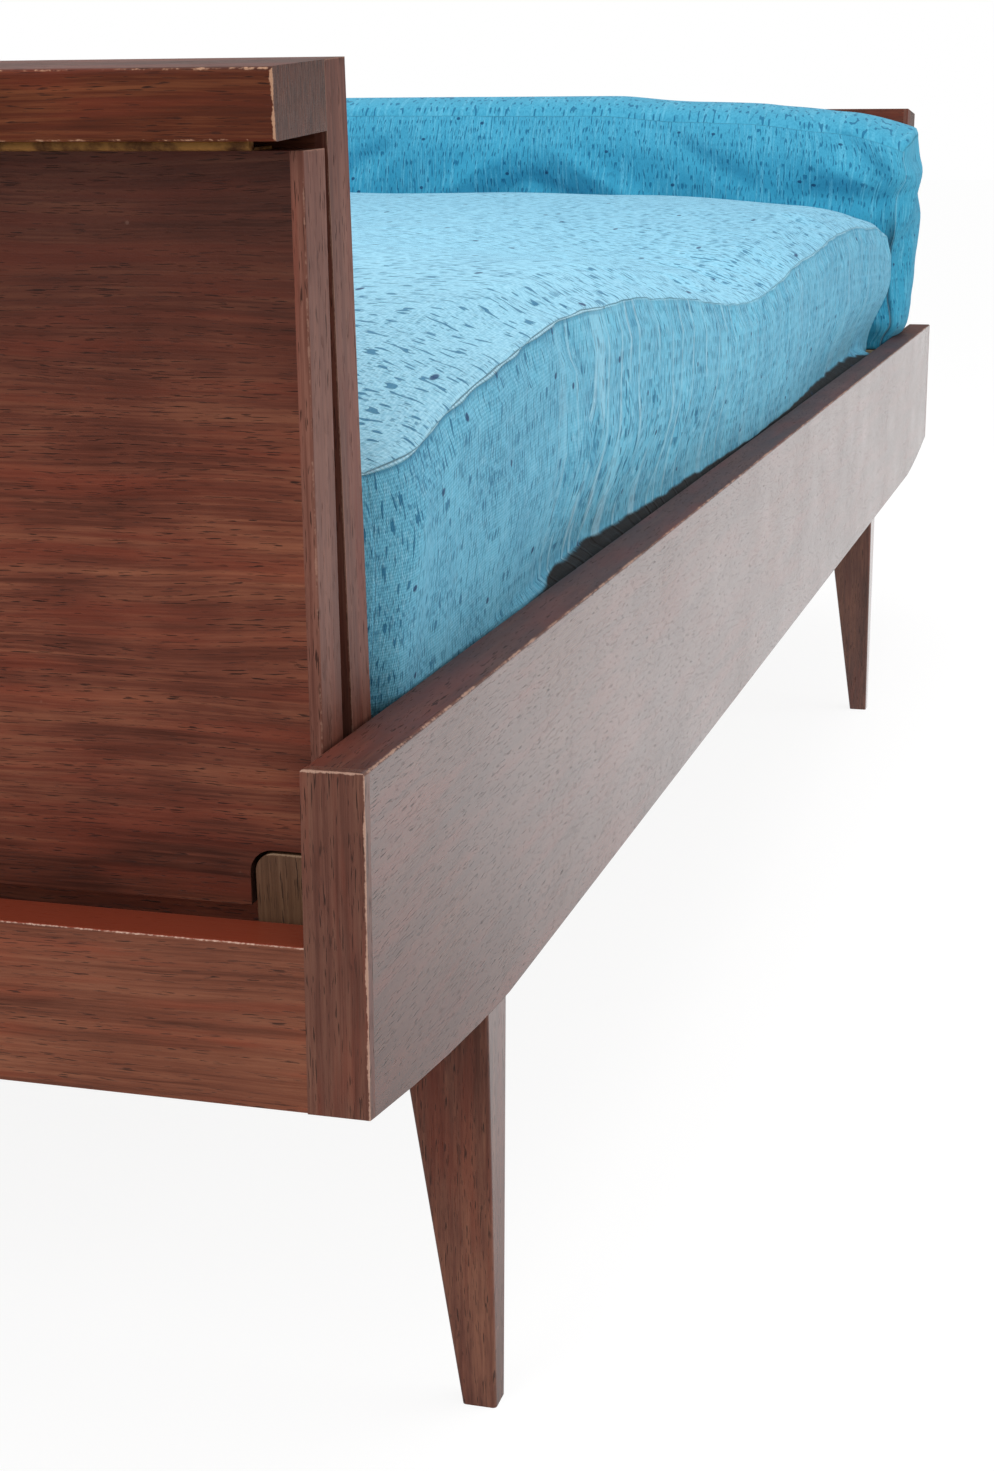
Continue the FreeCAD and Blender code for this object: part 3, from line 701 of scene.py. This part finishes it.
def clothSurface(name, look):
    # The rest attribute holds each point's place on the flat box that the cover was cut for.
    material, root, shader = newSurface(name)
    rest = root.make("ShaderNodeAttribute", {"attribute_name": "rest"}, pick="Vector").grow(inMm)
    x, y, z = rest.parts()
    halfX, high = look["halfX"], look["high"]
    onTop = z.rise(high - 0.9, high - 0.3)
    flat = onTop.most(1.0 - z.rise(0.3, 0.9))
    onX = x.size().rise(halfX - 0.9, halfX - 0.3) * (1.0 - flat)
    sides = y * onX + x * (1.0 - onX)
    lengthwise, crosswise = (x, y) if look["rolls"] else (y, x)
    along = z * (1.0 - flat) + lengthwise * flat
    across = sides * (1.0 - flat) + crosswise * flat
    panel = onTop * 3.0 + onX * 7.0
    loose = root.noise(root.point(along / 90.0, across / 70.0, panel))
    across = across + (loose - 0.5) * look["drift"]

    def threads(length, width, seed, detail, spread):
        wide = (onTop * spread + 1.0) * width
        return root.noise(root.point(across / wide, along / length, panel + seed), detail=detail)

    def fromEnd(start, end):
        return x.rise(start - halfX, end - halfX)

    made = {kind: threads(*form) for kind, form in threadKinds.items()}
    crowd, fine, slack = made["crowd"], made["fine"], made["slack"] - 0.5
    close = (1.0 - fromEnd(150.0, 420.0)) * look["close"]
    crowded = 0.45 + crowd.rise(0.38, 0.62) * 0.55
    sparse = onTop * 0.035 + look["sparse"]
    nearby = (made["nearby"] - sparse * 1.5).rise(0.57, 0.61)
    distant = (made["distant"] - sparse).rise(0.57, 0.61)
    aside = across / (onTop * 130.0 + 78.0) + panel * 7.3
    knots = root.cells(root.point(aside, along / 62.0, 0.0), dimensions="2D")
    turn = 2 * math.pi / look["twill"]
    twill = ((across + along) * turn).sine() * ((across - along * 0.4) * turn).sine() * 0.5 + 0.5
    slackened = fromEnd(230.0, 330.0) * (1.0 - fromEnd(620.0, 900.0) * 0.6)
    slackened = (1.0 - flat) * slackened * look["lines"] * crowded
    marks = {
        "dots": twill.rise(0.3, 0.75) * close * (1.0 - onTop * 0.6),
        "fine": fine,
        "dashes": (nearby * close * 0.9 + distant * (1.0 - close)) * crowded,
        "long": made["long"].rise(0.66, 0.68),
        "pale": threads(*look["paleThreads"]).rise(0.54, 0.62),
        # Painted highlight along fold ridges on the sides and painted shadow beside them; both also
        # give relief.
        "lines": (1.0 - slack.size().rise(0.008, 0.034)) * slackened,
        "hollows": (1.0 - (slack - 0.052).size().rise(0.012, 0.036)) * slackened,
        "knots": 1.0 - knots.rise(0.02, 0.034),
    }
    if look["rolls"]:
        seam = rolledMarks(look, (x, y, z), (1.0 - flat) * (1.0 - onX), onX)
    else:
        seam = pipedMarks(look, (x, y, z), 1.0 - onTop, fromEnd(330.0, 430.0))
    marks["crease"], marks["ridge"], contactShadow = seam
    # Painted shade: the foot of the sides painted near-black up to a ragged height, a dark strip in
    # the shadowed gap between the mattress and the rail.
    shadeStripEdge = fromEnd(60.0, 400.0) * look["shadeStripHeight"]
    raggedHeight = z + (fine - 0.5) * 3.0
    stitches = (across * (2 * math.pi / 3.4)).sine().rise(-0.2, 0.5)
    # Coats over the ground colour, in order: where, how strong and in which colour.
    coats = [
        (crowd.rise(0.25, 0.75), "crowding", "deep"),
        # The top painted lighter: partly sun-fading, partly painted light from above.
        (onTop, "fadedAndLitTop", "fadedAndLitColour"),
        # Painted light: the near end painted lighter, most on the top.
        ((1.0 - x.rise(-halfX, -halfX * 0.3)) * (onTop * 0.8 + 0.2), "paintedNearLight", "highlight"),
        # Painted shade: towards the far end painted darker.
        (x.rise(-halfX * 0.2, halfX * 0.6) * (1.0 - onTop * 0.2), "paintedFarShade", "deep"),
        # Painted light: the upper part painted lighter, used on the cushion.
        (z.rise(high * 0.7, high), "paintedUpperLight", "pale"),
        (marks["pale"], "paleShare", "pale"),
        (marks["dots"], "twillShare", "deep"),
        (fine.rise(0.42, 0.62), "fineShare", "deep"),
        (marks["dashes"], "dashShare", "slubAndCreaseShadow"),
        (marks["long"], "slubShare", "slubAndCreaseShadow"),
        # Painted shadow beside the folds, then their painted highlight.
        (marks["hollows"], "foldShadowShare", "deep"),
        (marks["lines"], "foldHighlightShare", "highlight"),
        ((1.0 - raggedHeight.rise(shadeStripEdge - 1.2, shadeStripEdge + 1.2)) * (1.0 - onTop), "shadeStripShare", "shadeStripColour"),
        (marks["knots"], "knotShare", "knot"),
        # Painted contact shadow on the cushion.
        (contactShadow, "contactShadowShare", "contactShadow"),
        # Painted shadow in the creases, in the slub colour, and painted highlight on the ridges.
        (marks["crease"], "creaseShadowShare", "slubAndCreaseShadow"),
        (marks["ridge"] * (0.45 + stitches * 0.35), "ridgeHighlightShare", "highlight"),
    ]
    shade = look["ground"]
    for place, share, tint in coats:
        shade = (place * look[share]).blend(shade, look[tint])
    height = sum((marks[kind] * share for kind, share in clothRelief.items()), start=0.0)
    feed(root.tree, shader, {"Base Color": shade, "Roughness": 0.84 + fine * 0.1,
                             "Sheen Weight": 0.1, "Sheen Roughness": 0.5,
                             "Specular IOR Level": 0.25, "Sheen Tint": (0.75, 0.9, 1.0, 1.0),
                             "Normal": bump(root, height, look["relief"] * mm)})
    return material


def gradedSteps(length, step, lead):
    # Places along an edge: close together at both ends, then evenly spaced.
    count = max(2, round((length - 2 * lead[-1]) / step))
    middle = np.linspace(lead[-1], length - lead[-1], count + 1)
    return np.concatenate([lead[:-1], middle, length - np.array(lead[:-1])[::-1]])


def boxGrid(xs, ys, zs):
    # A closed box of quads whose vertices lie at the given places along each axis.
    index, points, faces = {}, [], []

    def corner(i, j, k):
        key = (i, j, k)
        if key not in index:
            index[key] = len(points)
            points.append((xs[i], ys[j], zs[k]))
        return index[key]

    def quad(*keys):
        faces.append(tuple(corner(*key) for key in keys))

    nx, ny, nz = len(xs) - 1, len(ys) - 1, len(zs) - 1
    for i in range(nx):
        for j in range(ny):
            quad((i, j, nz), (i + 1, j, nz), (i + 1, j + 1, nz), (i, j + 1, nz))
            quad((i, j, 0), (i, j + 1, 0), (i + 1, j + 1, 0), (i + 1, j, 0))
    for i in range(nx):
        for k in range(nz):
            quad((i, 0, k), (i + 1, 0, k), (i + 1, 0, k + 1), (i, 0, k + 1))
            quad((i, ny, k), (i, ny, k + 1), (i + 1, ny, k + 1), (i + 1, ny, k))
    for j in range(ny):
        for k in range(nz):
            quad((0, j, k), (0, j, k + 1), (0, j + 1, k + 1), (0, j + 1, k))
            quad((nx, j, k), (nx, j + 1, k), (nx, j + 1, k + 1), (nx, j, k + 1))
    return np.array(points), faces


def coverGrid(look, halfX, halfY):
    # The flat box that a cover is cut for, about the origin and standing on z = 0.
    xs, ys, zs = (gradedSteps(length, look["step"], look["lead"])
                  for length in (2 * halfX, 2 * halfY, look["tall"]))
    return boxGrid(xs - halfX, ys - halfY, zs)


def smooth(value, low, high):
    share = np.clip((value - low) / (high - low), 0, 1)
    return share * share * (3 - 2 * share)


def through(value, points, blur=0.04):
    # A line through points in millimetres, rounded by averaging it over a short stretch.
    places, heights = np.array(points).T / inMm
    offsets = np.linspace(-1, 1, 9)
    weights = 1.001 - np.abs(offsets)
    return sum(np.interp(value + offset * blur, places, heights) * weight
               for offset, weight in zip(offsets, weights)) / weights.sum()


def waves(u, v, form, share=1.0):
    # A smooth field of about -height to height, made of a few seeded sine waves.
    height, seed, spread, count = form
    draw = np.random.default_rng(seed)
    total = np.zeros_like(u)
    for _ in range(count):
        angle, pace = draw.uniform(0, 2 * math.pi), draw.uniform(0.6, 1.6) / spread
        total += np.sin((u * math.cos(angle) + v * math.sin(angle)) * pace * 2 * math.pi
                        + draw.uniform(0, 2 * math.pi))
    return height * share * (total / count ** 0.5)


# Where a ridge rises and where it falls again, as shares of its length.
ridgeEnds = ((-0.15, 0.25), (0.6, 1.15))


def ridges(u, v, lines, width):
    # Sums ridges that run between two points each, given in millimetres.
    total = np.zeros_like(u)
    for u0, v0, u1, v1, height in np.array(lines) / inMm:
        reach = math.hypot(u1 - u0, v1 - v0)
        along = ((u - u0) * (u1 - u0) + (v - v0) * (v1 - v0)) / reach
        aside = ((u - u0) * (v1 - v0) - (v - v0) * (u1 - u0)) / reach
        begun, ended = (smooth(along, low * reach, high * reach) for low, high in ridgeEnds)
        total += height * (begun * (1 - ended)) * np.exp(-(aside / width) ** 2)
    return total


def newPiece(name, points, faces, rest):
    mesh = bpy.data.meshes.new(name)
    mesh.from_pydata(points.tolist(), [], faces)
    attribute = mesh.attributes.new("rest", "FLOAT_VECTOR", "POINT")
    attribute.data.foreach_set("vector", rest.astype(np.float32).ravel())
    piece = bpy.data.objects.new(name, mesh)
    bpy.context.scene.collection.objects.link(piece)
    return piece


def placesOf(piece):
    places = np.zeros(len(piece.data.vertices) * 3)
    piece.data.vertices.foreach_get("co", places)
    return places.reshape(-1, 3)


def restOf(piece):
    values = np.zeros(len(piece.data.vertices) * 3, np.float32)
    piece.data.attributes["rest"].data.foreach_get("vector", values)
    return values.reshape(-1, 3).astype(float)


def setPlaces(piece, places):
    piece.data.vertices.foreach_set("co", places.astype(np.float32).ravel())
    piece.data.update()


def keepMesh(piece):
    # Makes the shape that the modifiers give the piece's own mesh.
    evaluated = piece.evaluated_get(bpy.context.evaluated_depsgraph_get())
    mesh = bpy.data.meshes.new_from_object(evaluated)
    piece.modifiers.clear()
    piece.data = mesh


settling = {"frames": 20, "quality": 5, "mass": 0.25, "shear": 0.3}


def settleCloth(piece, look, held, free=1.0):
    # held is how firmly each point stays, and free the share of its movement that is kept.
    start = placesOf(piece)
    group = piece.vertex_groups.new(name="held")
    for level in np.unique(np.round(held, 2)):
        if level > 0:
            chosen = np.nonzero(np.abs(np.round(held, 2) - level) < tiny)[0]
            group.add([int(i) for i in chosen], float(level), "REPLACE")
    settings = piece.modifiers.new("settle", "CLOTH").settings
    settings.quality = settling["quality"]
    settings.mass = settling["mass"]
    settings.tension_stiffness = look["stretch"]
    settings.compression_stiffness = look["stretch"]
    settings.shear_stiffness = look["stretch"] * settling["shear"]
    settings.bending_stiffness = look["stiffness"]
    settings.use_pressure = True
    settings.uniform_pressure_force = look["pressure"]
    settings.shrink_min = -look["ease"]
    settings.vertex_group_mass = "held"
    settings.effector_weights.gravity = 0
    scene = bpy.context.scene
    scene.frame_start = 1
    scene.frame_end = settling["frames"]
    for step in range(scene.frame_start, scene.frame_end + 1):
        scene.frame_set(step)
    keepMesh(piece)
    scene.frame_set(scene.frame_start)
    moved = (placesOf(piece) - start) * np.reshape(free, (-1, 1))
    reach = np.linalg.norm(moved, axis=1, keepdims=True)
    moved = moved * np.minimum(1, look["cap"] / np.maximum(reach, nearlyNone))
    setPlaces(piece, start + moved)
    piece.vertex_groups.clear()


def subdivide(piece):
    piece.modifiers.new("finer", "SUBSURF").levels = 1
    keepMesh(piece)


def roundPlan(rest, halfX, halfY, radius):
    # Rounds the corners of the outline seen from above.
    limit = np.array([halfX, halfY]) - radius
    core = np.clip(rest[:, :2], -limit, limit)
    aside = rest[:, :2] - core
    reach = np.hypot(*aside.T)
    share = np.abs(aside).max(axis=1) / np.maximum(reach, nearlyNone)
    return (core + aside * np.where(reach > nearlyNone, share, 1)[:, None]).T


# The front rail's outer and inner faces and its near end, which the covers keep to.
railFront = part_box("front_rail")[0].y
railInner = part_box("front_rail")[1].y
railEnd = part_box("front_rail_near_cap")[0].x
railClearance = 0.0008


def besideRail(height, top, outside):
    # How far out a cover may reach: up to the rail's inner face as high as top, outside above it.
    return np.where(height < top, abs(railInner) - railClearance, outside)


# Mattress, in metres. The tables are in millimetres, as (distance from the rail's near end,
# value): the seam's and the crown's height over the slats, and how far the foot lies in from the
# rail's outer face. Folds run between two points of (distance, height) and have a height of
# their own.

mattress = {
    "tall": 0.142,           # of the flat box that the cover is cut for
    "step": 0.0125,
    "lead": (0.0, 0.004, 0.010, 0.020),
    "cornerRadius": 0.050,
    "blur": 0.07,
    "seamHeights": [(20, 91), (80, 101), (150, 115), (270, 137), (360, 147), (450, 152),
        (580, 145), (750, 132), (880, 122), (1030, 116), (1220, 133), (1480, 150), (1750, 146),
        (1930, 126)],
    "crownHeights": [(80, 124), (150, 134), (270, 147), (450, 157), (750, 156), (1030, 152),
        (1300, 157), (1600, 163), (1930, 158)],
    "footInsets": [(100, 26.5), (240, 27.5), (360, 32.5), (480, 39), (630, 32.5), (850, 30),
        (1010, 26.2), (1200, 26.5), (1420, 35), (1680, 42.5), (1860, 43)],
    # The top: a quick rise beside the seam, then a slow one to the crown.
    "lip": 0.008, "lipShare": 0.6, "lipWidth": 0.009,
    "sideReach": 0.28, "endReach": 0.07, "endPower": 2.6, "arch": 0.004,
    # The sides and ends.
    "seamInset": 0.024, "leanShares": (0.08, 0.8), "bulge": 0.005,
    "endSwell": 0.006, "endTuck": 0.008, "tuckShare": 0.12,
    "sideBand": (0.002, 0.0005),     # how near to a long side a point starts to belong to it
    "widest": 0.0185,        # least inset of the side above its foot
    "widestFrom": (0.012, 0.085),
    "footRound": 0.002, "railTop": 0.018,
    # The next three shape the painted shade strip: the foot of the sides, near-black, spread out to
    # the rail's inner face below its top, where there is only shadow.
    "shadeStripGap": 0.003,      # between the rail and the lining, below the rail's top
    "shadeStripTop": (0.0085, 0.0115),
    "shadeStripFrom": (0.06, 0.12),
    # Uneven forms: height, seed, length and count of waves.
    "seamWaver": (0.0015, 5, 0.25, 6),
    "topWaves": (0.0018, 8, 0.30, 6),
    "sideWaves": (0.0012, 21, 0.045, 6),
    "sideWavesFrom": 0.03,
    "puckers": (0.0006, 34, 0.05, 8),
    "puckerReach": 0.022, "puckerReachOnTop": 0.030,
    "settle": {"stretch": 12.0, "stiffness": 0.6, "pressure": 2.6, "ease": 0.02, "cap": 0.012},
    "heldSeam": 0.12, "heldElsewhere": 0.04, "freeAtSeam": 0.2, "freeFrom": 0.045,
    "foldWidth": 0.0055, "foldFactor": 1.4,
    "folds": [(385, 24, 396, 92, 3), (414, 22, 424, 105, 2.6), (446, 20, 458, 112, 3.4),
        (480, 22, 489, 98, 2.4), (512, 24, 526, 116, 3.2), (552, 24, 560, 90, 2.2),
        (590, 26, 604, 108, 3), (640, 26, 650, 92, 2.2), (692, 28, 708, 104, 2.6),
        (748, 26, 758, 88, 2), (830, 24, 842, 84, 1.8), (930, 24, 944, 80, 1.8),
        (1060, 24, 1070, 78, 1.6), (1240, 26, 1252, 94, 2), (1420, 28, 1434, 100, 2.2),
        (1600, 26, 1610, 96, 1.8)],
}

# Colours are linear, shares and tones are strengths from 0 to 1. In millimetres are drift (how
# far threads stray), the strip of painted shade at the foot (how high it shows) and twill.
# close is 1 where the twill shows at the near end.
mattressCloth = {
    "ground": (0.18, 0.565, 0.75), "deep": (0.085, 0.345, 0.52), "pale": (0.38, 0.68, 0.82),
    "slubAndCreaseShadow": (0.012, 0.14, 0.27), "knot": (0.008, 0.045, 0.14), "fadedAndLitColour": (0.36, 0.66, 0.82),
    "highlight": (0.50, 0.76, 0.87), "shadeStripColour": (0.022, 0.017, 0.015),
    "contactShadow": (0.006, 0.045, 0.085),
    "fadedAndLitTop": 0.6, "slubShare": 0.8, "dashShare": 0.7, "crowding": 0.6, "paleShare": 0.4,
    "fineShare": 0.34, "twillShare": 0.6, "foldShadowShare": 0.4, "foldHighlightShare": 0.42, "knotShare": 0.9,
    "shadeStripShare": 1.0, "contactShadowShare": 0.8, "creaseShadowShare": 0.45, "ridgeHighlightShare": 1.0,
    "paintedNearLight": 0.42, "paintedFarShade": 0.36, "paintedUpperLight": 0.0, "drift": 5.0, "lines": 1.0, "sparse": 0.0,
    "shadeStripHeight": 15.0, "close": 1.0, "twill": 2.3, "relief": 0.3, "rolls": False,
    "paleThreads": (8.0, 1.3, 60.0, 1.0, 1.8),
}


def buildMattress():
    look = mattress
    low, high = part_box("mattress")
    halfX = (high.x - low.x) / 2
    halfY = (high.y - low.y) / 2
    middle = (low.x + high.x) / 2
    tall = look["tall"]
    rest, faces = coverGrid(look, halfX, halfY)
    restX, restY, restZ = rest.T
    x, y = roundPlan(rest, halfX, halfY, look["cornerRadius"])
    share = restZ / tall
    station = x + middle - railEnd
    seam = through(station, look["seamHeights"], look["blur"])
    seam = seam + waves(station, np.sign(restY), look["seamWaver"])
    crown = through(station, look["crownHeights"], look["blur"])
    fromSide, fromEnd = halfY - np.abs(restY), halfX - np.abs(restX)
    inset = np.minimum(fromEnd, fromSide)
    lip = np.minimum(look["lip"] / np.maximum(crown - seam, thin), look["lipShare"])
    swell = (lip * (1 - np.exp(-fromSide / look["lipWidth"]))
             + (1 - lip) * smooth(fromSide, 0.0, look["sideReach"]))
    swell = swell * (1 - (1 - np.minimum(fromEnd / look["endReach"], 1)) ** look["endPower"])
    onTop = restZ > tall - tiny
    arch = look["arch"] * (1 - (restY / halfY) ** 2)
    topHeight = seam + (crown + arch - seam) * swell
    topHeight = topHeight + waves(restX, restY, look["topWaves"], swell)
    z = low.z + np.where(onTop, topHeight, seam * share)
    # The long sides lean from the cover's foot to its seam and swell between them.
    footInset = through(station, look["footInsets"])
    lean = smooth(share, *look["leanShares"])
    wall = footInset + (look["seamInset"] - footInset) * lean
    wall = wall - look["bulge"] * 4 * share * (1 - share)
    y = y * -(railFront + wall) / halfY
    # The ends swell a little and tuck under.
    tuck = look["endTuck"] * (1 - smooth(share, 0.0, look["tuckShare"]))
    endWall = look["endSwell"] * 4 * share * (1 - share) - tuck
    x = x * (halfX - look["endSwell"] + endWall) / halfX
    piece = newPiece("mattress_cover", np.stack([x + middle, y, z], axis=1), faces, rest)
    held = np.where(restZ < tiny, 1.0, np.where(onTop, look["heldSeam"], look["heldElsewhere"]))
    toSeam = np.where(onTop, inset, tall - restZ)
    free = look["freeAtSeam"]
    settleCloth(piece, look["settle"], held,
                free + (1 - free) * smooth(toSeam, 0.0, look["freeFrom"]))
    subdivide(piece)
    # Folds, puckers at the seam, and a clamp that keeps the cover out of the rails.
    restX, restY, restZ = restOf(piece).T
    places = placesOf(piece)
    px, py, pz = places.T
    station = px - railEnd
    height = pz - low.z
    seam = through(station, look["seamHeights"], look["blur"])
    near, full = look["sideBand"]
    onSide = smooth(np.abs(restY), halfY - near, halfY - full) * (restZ < tall - thin)
    folds = look["foldFactor"] * ridges(station, height, look["folds"], look["foldWidth"])
    folds += (waves(station, height * 0.25, look["sideWaves"])
              * smooth(height, 0.0, look["sideWavesFrom"]))
    puckers = waves(station, np.zeros_like(station), look["puckers"])
    puckers = puckers * np.exp(-np.abs(seam - height) / look["puckerReach"])
    py += np.sign(py) * onSide * (folds + puckers)
    nearSeam = np.exp(-(halfY - np.abs(restY)) / look["puckerReachOnTop"])
    nearSeam = nearSeam * (restZ > tall - thin)
    pz += waves(station, np.zeros_like(station), look["puckers"], nearSeam)
    footInset = through(station, look["footInsets"])
    inset = footInset + (look["widest"] - footInset) * smooth(height, *look["widestFrom"])
    radius = look["footRound"]
    below = np.maximum(radius - height, 0)
    inset = inset + radius - np.sqrt(np.maximum(radius ** 2 - below ** 2, 0))
    inset = inset - np.where(onSide > 0, np.maximum(folds, 0), 0)
    limit = np.minimum(besideRail(height, look["railTop"], 1.0), abs(railFront) - inset)
    py[:] = np.clip(py, -limit, limit)
    # The painted shade strip at the foot of the sides spreads out to the rail below its top,
    # except beside the mattress's ends: a dark sheet in the shadowed gap.
    spread = np.where(onSide > 0, 1 - smooth(height, *look["shadeStripTop"]), 0)
    spread = spread * smooth(halfX - np.abs(restX), *look["shadeStripFrom"])
    foot = np.sign(py) * (abs(railInner) - look["shadeStripGap"])
    py += spread * (foot - py)
    pz[:] = np.maximum(pz, low.z)
    setPlaces(piece, places)
    return piece, halfX, halfY, tall


def finishCover(piece, node, cloth, size):
    halfX, halfY, tall = size
    look = {**cloth, "halfX": halfX * inMm, "halfY": halfY * inMm, "high": tall * inMm}
    piece.data.materials.clear()
    piece.data.materials.append(clothSurface(node + "_cloth", look))
    piece.data.shade_smooth()
    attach(piece, node)
    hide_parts(node)


cover, *size = buildMattress()
finishCover(cover, "mattress", mattressCloth, size)
print("mattress made")


# End cushion, in metres. The tables are in millimetres: the top's height over the slats by the
# distance from the rail's outer face, the end's distance from that face by the height, and
# creases between two points of (distance, height).

cushion = {
    "halfDepth": 0.070,
    "tall": 0.262,           # of the flat box that the cover is cut for
    "step": 0.0125,
    "lead": (0.0, 0.004, 0.010, 0.020),
    "cornerRadius": 0.024,
    "lean": math.radians(4.0),
    "forward": 0.004,
    "topHeights": [(0, 232), (23, 243), (65, 260), (137, 269), (171, 273), (275, 278),
        (345, 284), (440, 285)],
    "topFrom": 0.012, "backSteeper": 2.2, "topBlur": 0.03,
    "endInsets": [(0, 28), (12, 27), (22, 18), (100, 16), (149, 13), (168, 12), (176, 13.5),
        (184, 8), (196, 6), (215, 10), (243, 21)],
    "endBlur": 0.006, "endReach": 0.12,
    "crown": 0.024, "belly": 0.06, "topNarrower": 0.10, "topNarrowerFrom": 0.85,
    "lift": 0.006,           # makes up for what the top loses as the cloth settles
    "liftFrom": (0.12, 0.25),
    "underBox": 0.0002, "railTop": 0.014,
    "settle": {"stretch": 12.0, "stiffness": 0.6, "pressure": 2.2, "ease": 0.02, "cap": 0.010},
    "heldBack": 0.6, "heldElsewhere": 0.04,
    "frontEdge": 0.003, "frontWaves": (0.0022, 13, 0.16, 6),
    "creaseWidth": 0.010,
    "creases": [(48, 110, 42, 205, -10), (30, 176, 95, 238, -8), (30, 172, 130, 205, 6.5),
        (30, 168, 150, 168, -7.5), (32, 160, 110, 120, 3), (170, 170, 300, 235, -7.5),
        (300, 150, 430, 222, 7.5), (360, 150, 480, 200, -10), (500, 160, 600, 232, -3),
        (620, 150, 760, 200, 3)],
}

cushionCloth = {
    **mattressCloth, "ground": (0.045, 0.34, 0.52), "deep": (0.016, 0.225, 0.385),
    "pale": (0.12, 0.46, 0.64), "slubAndCreaseShadow": (0.008, 0.13, 0.26), "knot": (0.008, 0.06, 0.15),
    "fadedAndLitTop": 0.0, "lines": 0.0, "crowding": 0.35, "dashShare": 0.4, "shadeStripHeight": 0.0, "close": 0.0,
    "paleThreads": (55.0, 2.2, 60.0, 1.0, 1.8), "paleShare": 0.6, "paintedNearLight": 0.0,
    "paintedFarShade": 0.0, "paintedUpperLight": 0.3, "sparse": 0.06, "rolls": True,
}


def buildCushion():
    look = cushion
    low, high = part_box("end_cushion")
    halfX = look["halfDepth"]
    halfY = (high.y - low.y) / 2
    tall = look["tall"]
    rest, faces = coverGrid(look, halfX, halfY)
    restX, restY, restZ = rest.T
    share = restZ / tall
    x, y = roundPlan(rest, halfX, halfY, look["cornerRadius"])
    reach = abs(railFront) - np.abs(y)
    levelled = np.where(y > 0, look["backSteeper"], 1.0) * (reach - look["topFrom"])
    top = through(levelled, look["topHeights"], look["topBlur"]) - look["crown"]
    height = share * top
    outer = abs(railFront) - through(height, look["endInsets"], look["endBlur"])
    atEnd = smooth(np.abs(restY), halfY - look["endReach"], halfY)
    y = y + np.sign(y) * (outer - halfY) * atEnd
    roll = np.sqrt(np.clip(1 - (restX / halfX) ** 2, 0, 1))
    height = height + np.where(restZ > tall - tiny, look["crown"] * roll, 0)
    x = x * (1 + look["belly"] * np.sin(share * math.pi)
             - look["topNarrower"] * smooth(share, look["topNarrowerFrom"], 1.0))
    x = x + low.x + halfX + look["forward"] + height * math.tan(look["lean"])
    points = np.stack([x, y, low.z + height], axis=1)
    piece = newPiece("end_cushion_cover", points, faces, rest)
    heldBack = np.where(restX > halfX - tiny, look["heldBack"], look["heldElsewhere"])
    settleCloth(piece, look["settle"], np.where(restZ < tiny, 1.0, heldBack))
    subdivide(piece)
    # Creases, the lift, and a clamp that keeps the cover out of the rails.
    restX, restY, restZ = restOf(piece).T
    places = placesOf(piece)
    px, py, pz = places.T
    height = pz - low.z
    reach = abs(railFront) - np.abs(py)
    facing = smooth(-restX, halfX - look["frontEdge"], halfX) * (restZ < tall)
    aside = reach * np.sign(-py) + np.where(py > 0, 1.0, 0.0) * 2 * reach
    folds = ridges(aside, height, look["creases"], look["creaseWidth"])
    folds += waves(py, height, look["frontWaves"])
    px -= facing * folds
    limit = besideRail(height, look["railTop"], abs(railFront))
    py[:] = np.clip(py, -limit, limit)
    pz += look["lift"] * smooth(height, *look["liftFrom"])
    pz[:] = np.clip(pz, low.z, high.z - look["underBox"])
    setPlaces(piece, places)
    return piece, halfX, halfY, tall


cover, *size = buildCushion()
finishCover(cover, "end_cushion", cushionCloth, size)
print("end cushion made")


bpy.context.scene.view_settings.view_transform = "Standard"
bpy.context.view_layer.update()
